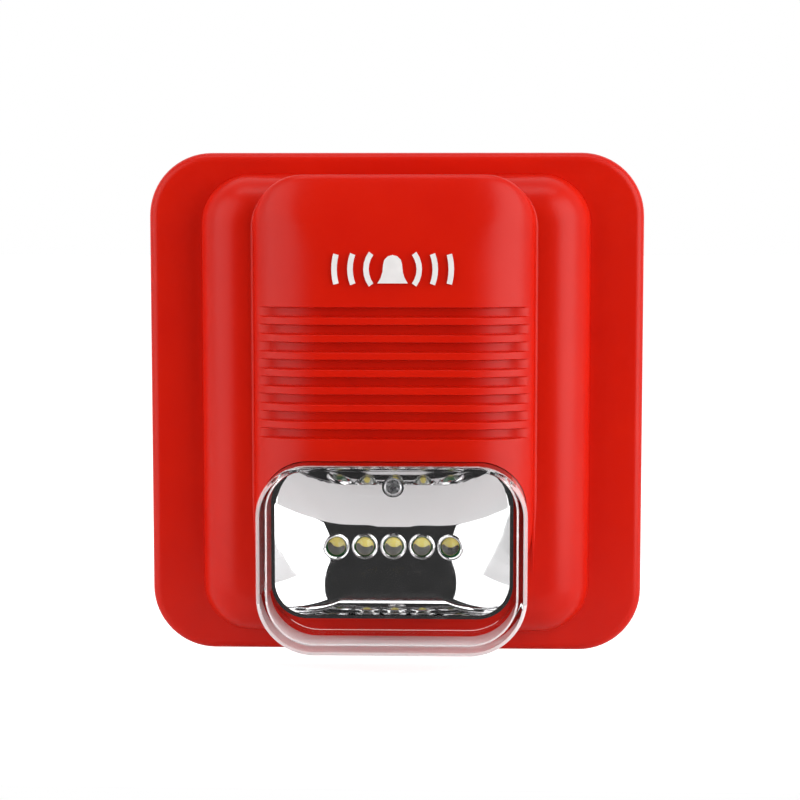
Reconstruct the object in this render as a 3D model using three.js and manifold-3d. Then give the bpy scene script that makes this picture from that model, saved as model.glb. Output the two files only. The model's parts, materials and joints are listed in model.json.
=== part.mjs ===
// A wall-mounted horn strobe: a red moulded alarm sounder with a clear LED strobe window.
//
// Everything is drawn as it is seen from the front: x to the right, y up, and z out of the wall,
// with the origin at the centre of the wall face. The exported group turns that upright, so that
// z out of the wall becomes -Y and y becomes +Z. All sizes are in millimetres.

import * as THREE from 'three';
import { mergeVertices } from 'three/addons/utils/BufferGeometryUtils.js';
import Module from 'manifold-3d';

const wasm = await Module();
wasm.setup();

// ---------- Driving dimensions ----------

const GAP = 0.3;

const PLATE = { width: 142, height: 144, corner: 18, back: 0.6, front: 14, edge: 2.5 };
const TIER = { width: 111, height: 131.5, corner: 14, front: 27, edge: 12 };
const PANEL = { width: 79, top: 65.4, bottom: -40, corner: 14, front: 38, edge: 11, edgeWidth: 13.8 };
const WALL = 2.4;

const LENS = { width: 74.6, top: -14, bottom: -66.5, front: 49.5, edge: 1.6, wall: 2.4, innerEdge: 0.8 };
const LENS_CORNER = { top: 14, bottom: 16 };
const SEAT_FRONT = 22;

const GROOVE = { count: 8, pitch: 4.84, width: 2.6, depth: 2.2, topEdge: 28.8, halfLength: 36.6 };
const SOUND_SLOT = { length: 44, width: 0.9, tilt: Math.PI / 4 };

const SIGN = {
  y: 39.5,
  halfHeight: 3.9,
  raise: 0.7,
  lift: 0.1,
  waveRadii: [6.6, 11, 15.4],
  stroke: 1.5,
  bellMouth: 4.2,
  bellCrown: 2.6,
};

const BOWL = { halfWidth: 32.5, floor: -56.2, back: 32.3, mouth: 42.5, wall: 1, rim: 0.5, rise: 21.3 };
const BOWL_MIDDLE = { halfWidth: 6, low: -41, high: -36, cornerRadius: 2.4 };
const SHELF = { mouthY: -17.2, fall: 0.87 };

const LED = { count: 5, pitch: 8, y: -38.5, radius: 2.5, flange: 2.9, length: 8.6 };
const LED_HOLE = { radius: 3, mouthRadius: 3.6 };
const LED_POST = { x: 20, y: -32, radius: 2.6, bore: 1.3 };
const SEAT_POST = { x: 20, y: -52, radius: 2 };
const WIRE_HOLE = { radius: 5, y: -41.5 };
const LED_BOARD = { width: 50, top: -28, bottom: -50, back: 24.7, thickness: 1.6 };
const REFLECTOR_SCREW = { y: -21.2, headRadius: 2.75, headHeight: 1.7, shank: 1.5, length: 9, post: 3, seat: 34.8 };

const BASE = { width: 136.4, height: 138.4, corner: 15.2, thickness: 2.5, rim: 7.5, rimWall: 2 };
const CABLE_ENTRY = { y: 22, radius: 12 };
const WALL_SLOT = { spacingX: 60.3, spacingY: 84, radius: 2.3, run: 4, padHeight: 1.2 };

const PEG = { radius: 2.5, start: 4, socketRadius: 4.2 };
const PEGS = [[-58, -60], [58, -60], [-58, 60], [58, 60]];
const LENS_TABS = [[-1, -28], [1, -28], [-1, -52], [1, -52]];
const TAB = { width: 6, thickness: 1.6, barb: 0.7, depth: 5.4 };

const MAIN_BOARD = { width: 92, top: 48, bottom: -46, back: 15, thickness: 1.6 };
const BOARD_SCREW = {
  x: 42,
  top: 44,
  bottom: -40,
  head: 2.6,
  headHeight: 1.6,
  shank: 1.3,
  length: 6,
  post: 3.2,
};

const TRANSFORMER = { x: -34, y: 30, flangeRadius: 5.5, flange: 1.2, waistRadius: 2.2, height: 8.2 };
const CAPACITOR = { x: 34, y: 31, radius: 4, height: 10 };
const SETTING = { x: 26, y: 6, width: 8, height: 6.6, depth: 4.4, travel: 1.6, pitch: 3 };

const HORN = { y: 15.4, radius: 25, wall: 2, front: 34.4, back: 17, portRadius: 6, portWall: 30 };
const PIEZO = { front: 26.4, discRadius: 21, discThickness: 0.6, waferRadius: 14, waferThickness: 0.5 };

const TERMINAL = { count: 4, pitch: 9, y: -24, width: 40, height: 13, back: 2.8, front: 10.8 };

const PIN_LENGTH = 1.6;

const LOCK = {
  z: 7.2,
  shank: 1.5,
  shankLength: 8.4,
  headRadius: 2.6,
  headHeight: 1.6,
  blockWidth: 12,
  blockTop: -66.2,
  blockBack: 3.5,
  tabBottom: -63.4,
  tabTop: -61.4,
  tabFront: 10.6,
};

// ---------- Materials ----------

const material = (color, roughness, metalness = 0) => (
  new THREE.MeshStandardMaterial({ color, roughness, metalness })
);

const redAbs = () => material(0xd41c08, 0.42);
const whiteInk = () => material(0xf2ece8, 0.5);
const blackPlastic = () => material(0x1b1b1d, 0.5);
const ivoryPlastic = () => material(0xe6dfcd, 0.5);
const greenLaminate = () => material(0x1d6b3c, 0.45);
const steel = () => material(0xb9bcc0, 0.3, 1);
const brass = () => material(0xc9a24b, 0.3, 1);
const copper = () => material(0xb4693a, 0.35, 1);
const ceramic = () => material(0xe9e4d8, 0.6);
const chromeFilm = () => material(0xe8e8ea, 0.06, 1);

function clearPlastic() {
  const clear = material(0xf4f8fa, 0.05);
  clear.transparent = true;
  clear.opacity = 0.35;
  return clear;
}

// ---------- Solids: joining and cutting ----------

function toSolid(geometry) {
  const bare = geometry.index ? geometry.toNonIndexed() : geometry.clone();
  bare.deleteAttribute('normal');
  bare.deleteAttribute('uv');
  const merged = mergeVertices(bare, 1e-4);
  return new wasm.Manifold(new wasm.Mesh({
    numProp: 3,
    vertProperties: new Float32Array(merged.attributes.position.array),
    triVerts: new Uint32Array(merged.index.array),
  }));
}

function toGeometry(solid) {
  const mesh = solid.getMesh();
  const geometry = new THREE.BufferGeometry();
  geometry.setAttribute('position', new THREE.BufferAttribute(mesh.vertProperties, 3));
  geometry.setIndex(new THREE.BufferAttribute(mesh.triVerts, 1));
  geometry.computeVertexNormals();
  return geometry;
}

const join = (...geometries) => (
  toGeometry(geometries.map(toSolid).reduce((all, next) => all.add(next)))
);

const cut = (geometry, ...tools) => (
  toGeometry(tools.map(toSolid).reduce((left, tool) => left.subtract(tool), toSolid(geometry)))
);

const common = (first, second) => toGeometry(toSolid(first).intersect(toSolid(second)));

// ---------- Basic shapes ----------

// A box between two opposite corners.
function block(xRange, yRange, zRange) {
  const [[x0, x1], [y0, y1], [z0, z1]] = [xRange, yRange, zRange];
  const geometry = new THREE.BoxGeometry(x1 - x0, y1 - y0, z1 - z0);
  return geometry.translate((x0 + x1) / 2, (y0 + y1) / 2, (z0 + z1) / 2);
}

const span = (a, b) => [Math.min(a, b), Math.max(a, b)];

// A round bar along z.
function rod(radius, z0, z1, sides = 16, x = 0, y = 0) {
  const geometry = new THREE.CylinderGeometry(radius, radius, z1 - z0, sides);
  return geometry.rotateX(Math.PI / 2).translate(x, y, (z0 + z1) / 2);
}

function roundedRect(width, yLow, yHigh, radius, topRadius = radius) {
  const right = width / 2;
  const shape = new THREE.Shape();
  shape.moveTo(right, yLow + radius);
  shape.lineTo(right, yHigh - topRadius);
  shape.absarc(right - topRadius, yHigh - topRadius, topRadius, 0, Math.PI / 2);
  shape.lineTo(topRadius - right, yHigh);
  shape.absarc(topRadius - right, yHigh - topRadius, topRadius, Math.PI / 2, Math.PI);
  shape.lineTo(-right, yLow + radius);
  shape.absarc(radius - right, yLow + radius, radius, Math.PI, 1.5 * Math.PI);
  shape.lineTo(right - radius, yLow);
  shape.absarc(right - radius, yLow + radius, radius, 1.5 * Math.PI, 2 * Math.PI);
  return shape;
}

// A slab of the outline between two heights, with straight sides.
function slab(outline, z0, z1, curveSegments = 3) {
  const options = { depth: z1 - z0, bevelEnabled: false, curveSegments };
  return new THREE.ExtrudeGeometry(outline, options).translate(0, 0, z0);
}

// A slab whose front edge is rolled over by a quarter ellipse of the given depth and width.
function rolledSlab(outline, z0, z1, rollDepth, rollWidth, rollSteps, curveSegments = 3) {
  const geometry = new THREE.ExtrudeGeometry(outline, {
    depth: z1 - z0,
    curveSegments,
    bevelEnabled: true,
    bevelThickness: rollDepth,
    bevelSize: rollWidth,
    bevelOffset: -rollWidth,
    bevelSegments: rollSteps,
  });
  geometry.translate(0, 0, z0 - rollDepth);
  return cut(geometry, block([-90, 90], [-90, 90], [z0 - 2 * rollDepth - 1, z0]));
}

// A turned piece whose profile is a list of [radius, z] points, closed on the axis or on itself.
function turned(profile, sides = 32) {
  const points = profile.map(([radius, z]) => new THREE.Vector2(radius, z));
  return new THREE.LatheGeometry(points, sides).rotateX(Math.PI / 2);
}

// A round wire along a smooth curve through the points.
function wireAlong(points, radius) {
  const path = new THREE.CatmullRomCurve3(points.map(([x, y, z]) => new THREE.Vector3(x, y, z)));
  const section = new THREE.Shape().absarc(0, 0, radius, 0, 2 * Math.PI);
  return new THREE.ExtrudeGeometry(section, {
    steps: 4 * (points.length - 1),
    curveSegments: 4,
    bevelEnabled: false,
    extrudePath: path,
  });
}

function stadium(radius, run) {
  const shape = new THREE.Shape();
  shape.absarc(run / 2, 0, radius, -Math.PI / 2, Math.PI / 2);
  shape.absarc(-run / 2, 0, radius, Math.PI / 2, 1.5 * Math.PI);
  return shape;
}

function named(name, geometry, look, position = [0, 0, 0]) {
  const mesh = new THREE.Mesh(geometry, look);
  mesh.name = name;
  mesh.position.set(...position);
  return mesh;
}

// ---------- Shared outlines ----------

const lensOutline = (grow) => roundedRect(
  LENS.width + 2 * grow,
  LENS.bottom - grow,
  LENS.top + grow,
  LENS_CORNER.bottom + grow,
  LENS_CORNER.top + grow,
);

// Hidden inner skins need fewer steps round their rolled edges than the outside does.
const skinSteps = (inset) => (inset > GROOVE.depth ? 2 : 4);

// The outer skin of one step of the cover, shrunk by an inset to give the inner skin.
function plateSkin(inset) {
  const half = PLATE.height / 2 - inset;
  const outline = roundedRect(PLATE.width - 2 * inset, -half, half, PLATE.corner - inset);
  const edge = Math.max(PLATE.edge - inset, 0.4);
  return rolledSlab(outline, PLATE.back - inset, PLATE.front - inset, edge, edge, skinSteps(inset) - 1);
}

function tierSkin(inset) {
  const half = TIER.height / 2 - inset;
  const outline = roundedRect(TIER.width - 2 * inset, -half, half, TIER.corner - inset / 2);
  const roll = TIER.edge - inset;
  return rolledSlab(outline, PLATE.back - inset, TIER.front - inset, roll, roll, skinSteps(inset));
}

function panelSkin(inset) {
  const corner = PANEL.corner - inset / 3;
  const outline = roundedRect(PANEL.width - 2 * inset, PANEL.bottom, PANEL.top - inset, corner);
  const depth = PANEL.edge - inset;
  return rolledSlab(outline, 10, PANEL.front - inset, depth, PANEL.edgeWidth - inset, skinSteps(inset));
}

// ---------- Front cover ----------

// The lens stands in a pocket whose floor is the lens seat.
const lensPocket = () => slab(lensOutline(GAP), SEAT_FRONT, PANEL.front + 10);

// Each groove follows the rolled sides of the panel at a constant depth.
function grooveTools() {
  const innerPanel = toSolid(panelSkin(GROOVE.depth));
  const half = GROOVE.halfLength;
  const tools = [];
  for (let i = 0; i < GROOVE.count; i += 1) {
    const top = GROOVE.topEdge - i * GROOVE.pitch;
    const slot = block([-half, half], [top - GROOVE.width, top], [TIER.front + 1, PANEL.front + 1]);
    tools.push(toGeometry(toSolid(slot).subtract(innerPanel)));
  }
  return tools;
}

// A slanted outlet opens in the ceiling of each groove, where it is hidden from above.
function soundSlotTools() {
  const tools = [];
  for (let i = 0; i < GROOVE.count; i += 1) {
    const top = GROOVE.topEdge - i * GROOVE.pitch;
    const slot = new THREE.BoxGeometry(SOUND_SLOT.length, SOUND_SLOT.width, 6.4);
    slot.rotateX(SOUND_SLOT.tilt);
    slot.translate(0, top + 1.1, PANEL.front - 2);
    tools.push(slot);
  }
  return tools;
}

// How far out from the middle a lens tab's two faces lie.
function tabSides() {
  const middle = (LENS.width - LENS.wall) / 2;
  return { inner: middle - TAB.thickness / 2, outer: middle + TAB.thickness / 2 };
}

const boardFront = MAIN_BOARD.back + MAIN_BOARD.thickness;

const boardScrewPlaces = [
  [-BOARD_SCREW.x, BOARD_SCREW.top],
  [BOARD_SCREW.x, BOARD_SCREW.top],
  [-BOARD_SCREW.x, BOARD_SCREW.bottom],
  [BOARD_SCREW.x, BOARD_SCREW.bottom],
];

function frontCover() {
  const outer = join(
    cut(join(plateSkin(0), tierSkin(0), panelSkin(0)), lensPocket()),
    slab(lensOutline(0), 10, SEAT_FRONT),
  );
  const grooved = cut(outer, ...grooveTools());
  const pocketWalls = slab(lensOutline(GAP + WALL), SEAT_FRONT - WALL, PANEL.front + 10);
  const hollow = cut(join(plateSkin(WALL), tierSkin(WALL), panelSkin(WALL + 0.8)), pocketWalls);
  const shell = cut(grooved, hollow, ...soundSlotTools(), ...windowTools());
  return named('front_cover', cut(join(shell, ...coverPosts()), ...postHoles()), redAbs());
}

// Openings in the lens seat for the lens tabs and the strobe wiring.
function windowTools() {
  const through = [SEAT_FRONT - WALL - 1, SEAT_FRONT + 0.5];
  const tools = LENS_TABS.map(([side, y]) => {
    const { inner, outer } = tabSides();
    const half = TAB.width / 2 + GAP;
    const across = span(side * (inner - TAB.barb - GAP), side * (outer + GAP));
    return block(across, [y - half, y + half], through);
  });
  tools.push(rod(WIRE_HOLE.radius, ...through, 16, 0, WIRE_HOLE.y));
  return tools;
}

function coverPosts() {
  const underPlate = PLATE.front - WALL + 0.5;
  const lockHalf = LOCK.blockWidth / 2;
  const posts = PEGS.map(([x, y]) => rod(PEG.radius, PEG.start, underPlate, 12, x, y));
  boardScrewPlaces.forEach(([x, y]) => {
    posts.push(rod(BOARD_SCREW.post, boardFront + GAP, TIER.front - WALL + 0.5, 12, x, y));
  });
  const underBowl = BOWL.back - BOWL.wall - GAP;
  posts.push(rod(REFLECTOR_SCREW.post, SEAT_FRONT - 0.5, underBowl, 16, 0, REFLECTOR_SCREW.y));
  const lockAcross = [-lockHalf, lockHalf];
  posts.push(block(lockAcross, [1 - PLATE.height / 2, LOCK.blockTop], [LOCK.blockBack, underPlate]));
  return posts;
}

function postHoles() {
  const reach = BOARD_SCREW.length - MAIN_BOARD.thickness;
  const holes = boardScrewPlaces.map(([x, y]) => (
    rod(BOARD_SCREW.shank + GAP, boardFront - 1, boardFront + reach + GAP, 10, x, y)
  ));
  const tip = REFLECTOR_SCREW.seat - REFLECTOR_SCREW.length - 1;
  holes.push(rod(REFLECTOR_SCREW.shank + GAP, tip, BOWL.back, 12, 0, REFLECTOR_SCREW.y));
  holes.push(lockHole());
  return holes;
}

// A stepped hole up through the bottom edge for the captive lock screw.
function lockHole() {
  const bottom = -PLATE.height / 2;
  const shank = new THREE.CylinderGeometry(LOCK.shank + GAP, LOCK.shank + GAP, 12, 12);
  const head = new THREE.CylinderGeometry(LOCK.headRadius + GAP, LOCK.headRadius + GAP, 4, 16);
  return join(
    shank.translate(0, bottom + 6, LOCK.z),
    head.translate(0, bottom + LOCK.headHeight + 0.4 - 2, LOCK.z),
  );
}

function lockScrew() {
  const { shankLength } = LOCK;
  const seatY = -PLATE.height / 2 + LOCK.headHeight + 0.1;
  const head = new THREE.CylinderGeometry(LOCK.headRadius, LOCK.headRadius, LOCK.headHeight, 16);
  const shank = new THREE.CylinderGeometry(LOCK.shank, LOCK.shank, shankLength, 12);
  const driver = new THREE.BoxGeometry(0.8, 1.6, 3.4);
  const driverAcross = new THREE.BoxGeometry(3.4, 1.6, 0.8);
  const headY = seatY - LOCK.headHeight / 2;
  const screw = cut(
    join(head.translate(0, headY, 0), shank.translate(0, seatY + shankLength / 2 - 0.2, 0)),
    driver.translate(0, seatY - LOCK.headHeight, 0),
    driverAcross.translate(0, seatY - LOCK.headHeight, 0),
  );
  return named('cover_lock_screw', screw, steel(), [0, 0, LOCK.z]);
}

// ---------- Raised alarm sign: a bell between three pairs of sound waves ----------

const signSlab = (outline) => slab(outline, PANEL.front + SIGN.lift, PANEL.front + SIGN.raise);

function bellOutline() {
  const crown = SIGN.bellCrown;
  const mouth = SIGN.bellMouth;
  const crownY = SIGN.halfHeight - crown;
  const bell = new THREE.Shape();
  bell.moveTo(-mouth, -SIGN.halfHeight);
  bell.quadraticCurveTo(-crown, -2, -crown, crownY);
  bell.absarc(0, crownY, crown, Math.PI, 0, true);
  bell.quadraticCurveTo(crown, -2, mouth, -SIGN.halfHeight);
  bell.closePath();
  return bell;
}

// Each wave is part of a ring about the bell, as high as the bell is.
function waveOutline(radius, direction) {
  const half = Math.asin(SIGN.halfHeight / radius);
  const middle = direction > 0 ? 0 : Math.PI;
  const wave = new THREE.Shape();
  wave.absarc(0, 0, radius + SIGN.stroke, middle - half, middle + half);
  wave.absarc(0, 0, radius, middle + half, middle - half, true);
  return wave;
}

function alarmSign() {
  const pieces = [named('sign_bell', signSlab(bellOutline()), whiteInk(), [0, SIGN.y, 0])];
  [['left', -1], ['right', 1]].forEach(([side, direction]) => {
    SIGN.waveRadii.forEach((radius, i) => {
      const wave = signSlab(waveOutline(radius, direction));
      pieces.push(named(`sign_wave_${side}_${i + 1}`, wave, whiteInk(), [0, SIGN.y, 0]));
    });
  });
  return pieces;
}

// ---------- Strobe window ----------

function strobeLens() {
  const back = SEAT_FRONT + GAP;
  const outer = rolledSlab(lensOutline(0), back, LENS.front, LENS.edge, LENS.edge, 3, 4);
  const inside = lensOutline(-LENS.wall);
  const inner = rolledSlab(inside, back - 1, LENS.front - LENS.wall, LENS.innerEdge, LENS.innerEdge, 2, 4);
  const tabs = LENS_TABS.map(([side, y]) => lensTab(side, y));
  return named('strobe_lens', join(cut(outer, inner), ...tabs), clearPlastic());
}

// A snap tab runs on from the side wall of the lens, through the seat, and hooks behind it.
function lensTab(side, y) {
  const { inner, outer } = tabSides();
  const width = [y - TAB.width / 2, y + TAB.width / 2];
  const tip = SEAT_FRONT + GAP - TAB.depth;
  return join(
    block(span(side * inner, side * outer), width, [tip, SEAT_FRONT + 1]),
    block(span(side * (inner - TAB.barb), side * outer), width, [tip, SEAT_FRONT - WALL - GAP]),
  );
}

// ---------- Reflector ----------

// A skin through closed rings of points, each with the same number of points, capped at both ends.
function loft(rings) {
  const count = rings[0].length;
  const last = (rings.length - 1) * count;
  const index = [];
  for (let i = 0; i + 1 < rings.length; i += 1) {
    for (let j = 0; j < count; j += 1) {
      const here = i * count + j;
      const next = i * count + ((j + 1) % count);
      index.push(here, next, next + count, here, next + count, here + count);
    }
  }
  for (let j = 1; j + 1 < count; j += 1) {
    index.push(0, j + 1, j, last, last + j, last + j + 1);
  }
  const geometry = new THREE.BufferGeometry();
  geometry.setAttribute('position', new THREE.Float32BufferAttribute(rings.flat(2), 3));
  geometry.setIndex(index);
  return geometry;
}

// The points of a rounded rectangle at one height, anticlockwise.
function ringPoints({ right, low, high, lowRadius, highRadius }, z, steps = 4) {
  const corners = [
    [right - lowRadius, low + lowRadius, lowRadius, -90],
    [right - highRadius, high - highRadius, highRadius, 0],
    [highRadius - right, high - highRadius, highRadius, 90],
    [lowRadius - right, low + lowRadius, lowRadius, 180],
  ];
  return corners.flatMap(([x, y, radius, start]) => (
    Array.from({ length: steps + 1 }, (_, i) => {
      const angle = THREE.MathUtils.degToRad(start + (90 * i) / steps);
      return [x + radius * Math.cos(angle), y + radius * Math.sin(angle), z];
    })
  ));
}

// One ring of the bowl, from its flat middle (share 0) to its mouth (share 1). Above and beside the
// middle the bowl is a shallow parabola, and below it a quarter ellipse.
function bowlRing(share, grow) {
  const { halfWidth, low, high, cornerRadius } = BOWL_MIDDLE;
  return ringPoints({
    right: halfWidth + (BOWL.halfWidth - halfWidth) * share + grow,
    low: low + (BOWL.floor - low) * share * Math.sqrt(2 - share * share) - grow,
    high: high + BOWL.rise * share + grow,
    lowRadius: cornerRadius + 7 * share + grow / 2,
    highRadius: cornerRadius + 10 * share * share + grow / 2,
  }, BOWL.back - grow + (BOWL.mouth - BOWL.back + grow) * share ** 2);
}

// All that lies above the slanted shelf that closes the bowl's top.
function aboveShelf(grow) {
  const mouthY = SHELF.mouthY + grow;
  const side = new THREE.Shape();
  side.moveTo(BOWL.mouth, mouthY);
  side.lineTo(SEAT_FRONT - 5, mouthY - SHELF.fall * (BOWL.mouth - SEAT_FRONT + 5));
  side.lineTo(SEAT_FRONT - 5, 20);
  side.lineTo(LENS.front, 20);
  side.lineTo(LENS.front, mouthY);
  const wedge = new THREE.ExtrudeGeometry(side, { depth: 100, bevelEnabled: false });
  return wedge.translate(0, 0, -50).rotateY(-Math.PI / 2);
}

// The bowl's outer skin (grown by its wall) or inner skin, trimmed to stand clear inside the lens.
function bowlSkin(grow) {
  const shares = [0, 0.2, 0.35, 0.5, 0.62, 0.73, 0.83, 0.92, 1];
  const rings = shares.map((share) => bowlRing(share, grow));
  if (grow === 0) {
    rings.push(rings[rings.length - 1].map(([x, y, z]) => [x, y, z + 1]));
  }
  const rim = grow === 0 ? BOWL.rim : 0;
  const trimmed = common(loft(rings), slab(lensOutline(-LENS.wall - GAP - rim), SEAT_FRONT, LENS.front));
  return cut(trimmed, aboveShelf(grow));
}

const ledX = (i) => (i - (LED.count - 1) / 2) * LED.pitch;

function reflector() {
  const boardFace = LED_BOARD.back + LED_BOARD.thickness + GAP;
  const { seat, headRadius } = REFLECTOR_SCREW;
  const posts = [-LED_POST.x, LED_POST.x].flatMap((x) => [
    rod(LED_POST.radius, boardFace, BOWL.back + 1.5, 12, x, LED_POST.y),
    rod(SEAT_POST.radius, SEAT_FRONT + GAP, BOWL.back + 3, 12, x, SEAT_POST.y),
  ]);
  posts.push(rod(headRadius + 1.4, BOWL.back - BOWL.wall, BOWL.mouth - 3, 20, 0, REFLECTOR_SCREW.y));
  const ledHole = [
    [0, BOWL.back - 6],
    [LED_HOLE.radius, BOWL.back - 6],
    [LED_HOLE.radius, BOWL.back],
    [LED_HOLE.mouthRadius, BOWL.back + 0.7],
    [LED_HOLE.mouthRadius, BOWL.back + 5],
    [0, BOWL.back + 5],
  ];
  const holes = [
    rod(REFLECTOR_SCREW.shank + GAP, BOWL.back - 4, seat + 1, 12, 0, REFLECTOR_SCREW.y),
    rod(headRadius + GAP, seat, BOWL.mouth + 1, 20, 0, REFLECTOR_SCREW.y),
  ];
  for (let i = 0; i < LED.count; i += 1) {
    holes.push(turned(ledHole, 16).translate(ledX(i), LED.y, 0));
  }
  [-LED_POST.x, LED_POST.x].forEach((x) => {
    holes.push(rod(LED_POST.bore, LED_BOARD.back, BOWL.back - BOWL.wall - 0.5, 10, x, LED_POST.y));
  });
  return named('reflector', cut(join(bowlSkin(BOWL.wall), ...posts), bowlSkin(0), ...holes), chromeFilm());
}

// A pan-head screw along z with a cross recess; its head sits on the plane z = 0.
function crossScrew(headRadius, headHeight, shankRadius, length) {
  const screw = turned([
    [0, -length],
    [shankRadius * 0.55, -length],
    [shankRadius, -length + shankRadius],
    [shankRadius, 0],
    [headRadius, 0],
    [headRadius, headHeight * 0.5],
    [headRadius * 0.7, headHeight],
    [0, headHeight],
  ], 12);
  const reach = headRadius * 0.55;
  const slot = headRadius * 0.14;
  const depth = [headHeight * 0.35, headHeight + 1];
  return cut(screw, join(
    block([-reach, reach], [-slot, slot], depth),
    block([-slot, slot], [-reach, reach], depth),
  ));
}

function reflectorScrew() {
  const { headRadius, headHeight, shank, length, y, seat } = REFLECTOR_SCREW;
  const screw = crossScrew(headRadius, headHeight, shank, length);
  return named('reflector_screw', screw, steel(), [0, y, seat]);
}

// ---------- Strobe board and its LEDs ----------

function strobeLed(i) {
  const straight = LED.length - LED.radius;
  const profile = [[0, 0], [LED.flange, 0], [LED.flange, 1], [LED.radius, 1]];
  const domeSteps = 3;
  for (let step = 0; step < domeSteps; step += 1) {
    const angle = (step / domeSteps) * (Math.PI / 2);
    profile.push([LED.radius * Math.cos(angle), straight + LED.radius * Math.sin(angle)]);
  }
  profile.push([0, LED.length]);
  const front = LED_BOARD.back + LED_BOARD.thickness + GAP;
  return named(`strobe_led_${i + 1}`, turned(profile, 14), clearPlastic(), [ledX(i), LED.y, front]);
}

function ledBoard() {
  const { width, top, bottom, back, thickness } = LED_BOARD;
  const plate = block([-width / 2, width / 2], [bottom, top], [back, back + thickness]);
  const holes = [-LED_POST.x, LED_POST.x].map((x) => (
    rod(1.5, back - 1, back + thickness + 1, 10, x, LED_POST.y)
  ));
  return named('led_board', cut(plate, ...holes), greenLaminate());
}

function ledBoardScrew(side, x) {
  const screw = crossScrew(2.1, 1.2, 1, 4.6);
  screw.rotateX(Math.PI);
  return named(`led_board_screw_${side}`, screw, steel(), [x, LED_POST.y, LED_BOARD.back - GAP]);
}

// ---------- Main board and what it carries ----------

function mainBoard() {
  const { width, top, bottom, back, thickness } = MAIN_BOARD;
  const plate = block([-width / 2, width / 2], [bottom, top], [back, back + thickness]);
  const bore = BOARD_SCREW.shank + GAP;
  const holes = boardScrewPlaces.map(([x, y]) => rod(bore, back - 1, boardFront + 1, 10, x, y));
  return named('main_board', cut(plate, ...holes), greenLaminate());
}

function boardScrew(i) {
  const screw = crossScrew(BOARD_SCREW.head, BOARD_SCREW.headHeight, BOARD_SCREW.shank, BOARD_SCREW.length);
  screw.rotateX(Math.PI);
  const [x, y] = boardScrewPlaces[i];
  return named(`board_screw_${i + 1}`, screw, steel(), [x, y, MAIN_BOARD.back - GAP]);
}

// Parts on the wall side of the board hang down from its back face, at z = 0 in their own frame.
function onBoardBack(name, geometry, look, x, y) {
  geometry.rotateX(Math.PI);
  return named(name, geometry, look, [x, y, MAIN_BOARD.back - GAP]);
}

function onBoardFront(name, geometry, look, x, y) {
  return named(name, geometry, look, [x, y, boardFront + GAP]);
}

// A drum core with a flange at each end, and the winding round its waist.
function transformer() {
  const { x, y, flangeRadius, flange, waistRadius, height } = TRANSFORMER;
  const core = join(
    rod(flangeRadius, 0, flange, 14),
    rod(waistRadius, 0, height, 14),
    rod(flangeRadius, height - flange, height, 14),
  );
  const winding = cut(
    rod(flangeRadius - 0.6, flange + GAP, height - flange - GAP, 14),
    rod(waistRadius + GAP, 0, height, 14),
  );
  return [
    onBoardBack('transformer_core', core, blackPlastic(), x, y),
    onBoardBack('transformer_winding', winding, copper(), x, y),
  ];
}

// An upright can with a crimped neck near the board.
function capacitorCan() {
  const { radius, height } = CAPACITOR;
  const profile = [
    [0, 0],
    [radius - 0.3, 0],
    [radius, 0.4],
    [radius, 1.2],
    [radius - 0.2, 1.6],
    [radius, 2],
    [radius, height - 0.4],
    [radius - 0.3, height],
    [0, height],
  ];
  return turned(profile, 14);
}

function boardParts() {
  const transistor = cut(rod(2.4, 0, 4.6, 16), block([-3, 3], [-3, -1.4], [-1, 6]));
  const chip = cut(block([-2.5, 2.5], [-2, 2], [0, 1.8]), rod(0.5, 1.5, 2.5, 8, -1.7, 0));
  const diode = () => new THREE.CylinderGeometry(1.3, 1.3, 5, 12).translate(0, 0, 1.3);
  const resistor = () => block([-1.6, 1.6], [-0.8, 0.8], [0, 0.6]);
  return [
    onBoardBack('filter_capacitor', capacitorCan(), blackPlastic(), CAPACITOR.x, CAPACITOR.y),
    onBoardBack('drive_transistor', transistor, blackPlastic(), -22, 34),
    onBoardBack('diode_1', diode(), blackPlastic(), -24, -12),
    onBoardBack('diode_2', diode(), blackPlastic(), -30, -12),
    onBoardFront('controller_chip', chip, blackPlastic(), 38, 6),
    onBoardFront('resistor_1', resistor(), ceramic(), 38, 14),
    onBoardFront('resistor_2', resistor(), ceramic(), 38, 18),
  ];
}

// The setting switch faces the wall side, where it is reached with the sounder off its base.
function settingSwitch() {
  const { x, y, width, height, depth, travel, pitch } = SETTING;
  const windows = [-1, 1].map((side) => (
    block([side * pitch / 2 - 0.9, side * pitch / 2 + 0.9], [-1.9, 1.9], [depth - 1.6, depth + 1])
  ));
  const body = cut(block([-width / 2, width / 2], [-height / 2, height / 2], [0, depth]), ...windows);
  const slider = () => block([-0.6, 0.6], [-0.7, 0.7], [depth - 1.3, depth + 0.5]);
  const place = (side) => [x + side * pitch / 2, y - travel / 2];
  return [
    onBoardBack('setting_switch', body, redAbs(), x, y),
    onBoardBack('tone_slider', slider(), whiteInk(), ...place(-1)),
    onBoardBack('volume_slider', slider(), whiteInk(), ...place(1)),
  ];
}

// ---------- Sounder ----------

// The chamber is a tube with a ported wall across it; the disc sits on a ledge behind the port.
function hornChamber() {
  const { radius, wall, front, back, portRadius, portWall } = HORN;
  const bore = radius - wall;
  const tube = turned([[bore, back], [radius, back], [radius, front], [bore, front], [bore, back]], 24);
  const ported = turned([
    [portRadius, portWall],
    [bore + wall / 2, portWall],
    [bore + wall / 2, portWall + 1.6],
    [portRadius, portWall + 1.6],
    [portRadius, portWall],
  ], 24);
  const ledge = turned([
    [PIEZO.discRadius - 2, PIEZO.front + GAP],
    [bore + wall / 2, PIEZO.front + GAP],
    [bore + wall / 2, PIEZO.front + 1.6],
    [PIEZO.discRadius - 2, PIEZO.front + 1.6],
    [PIEZO.discRadius - 2, PIEZO.front + GAP],
  ], 24);
  return named('horn_chamber', join(tube, ported, ledge), blackPlastic(), [0, HORN.y, 0]);
}

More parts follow.
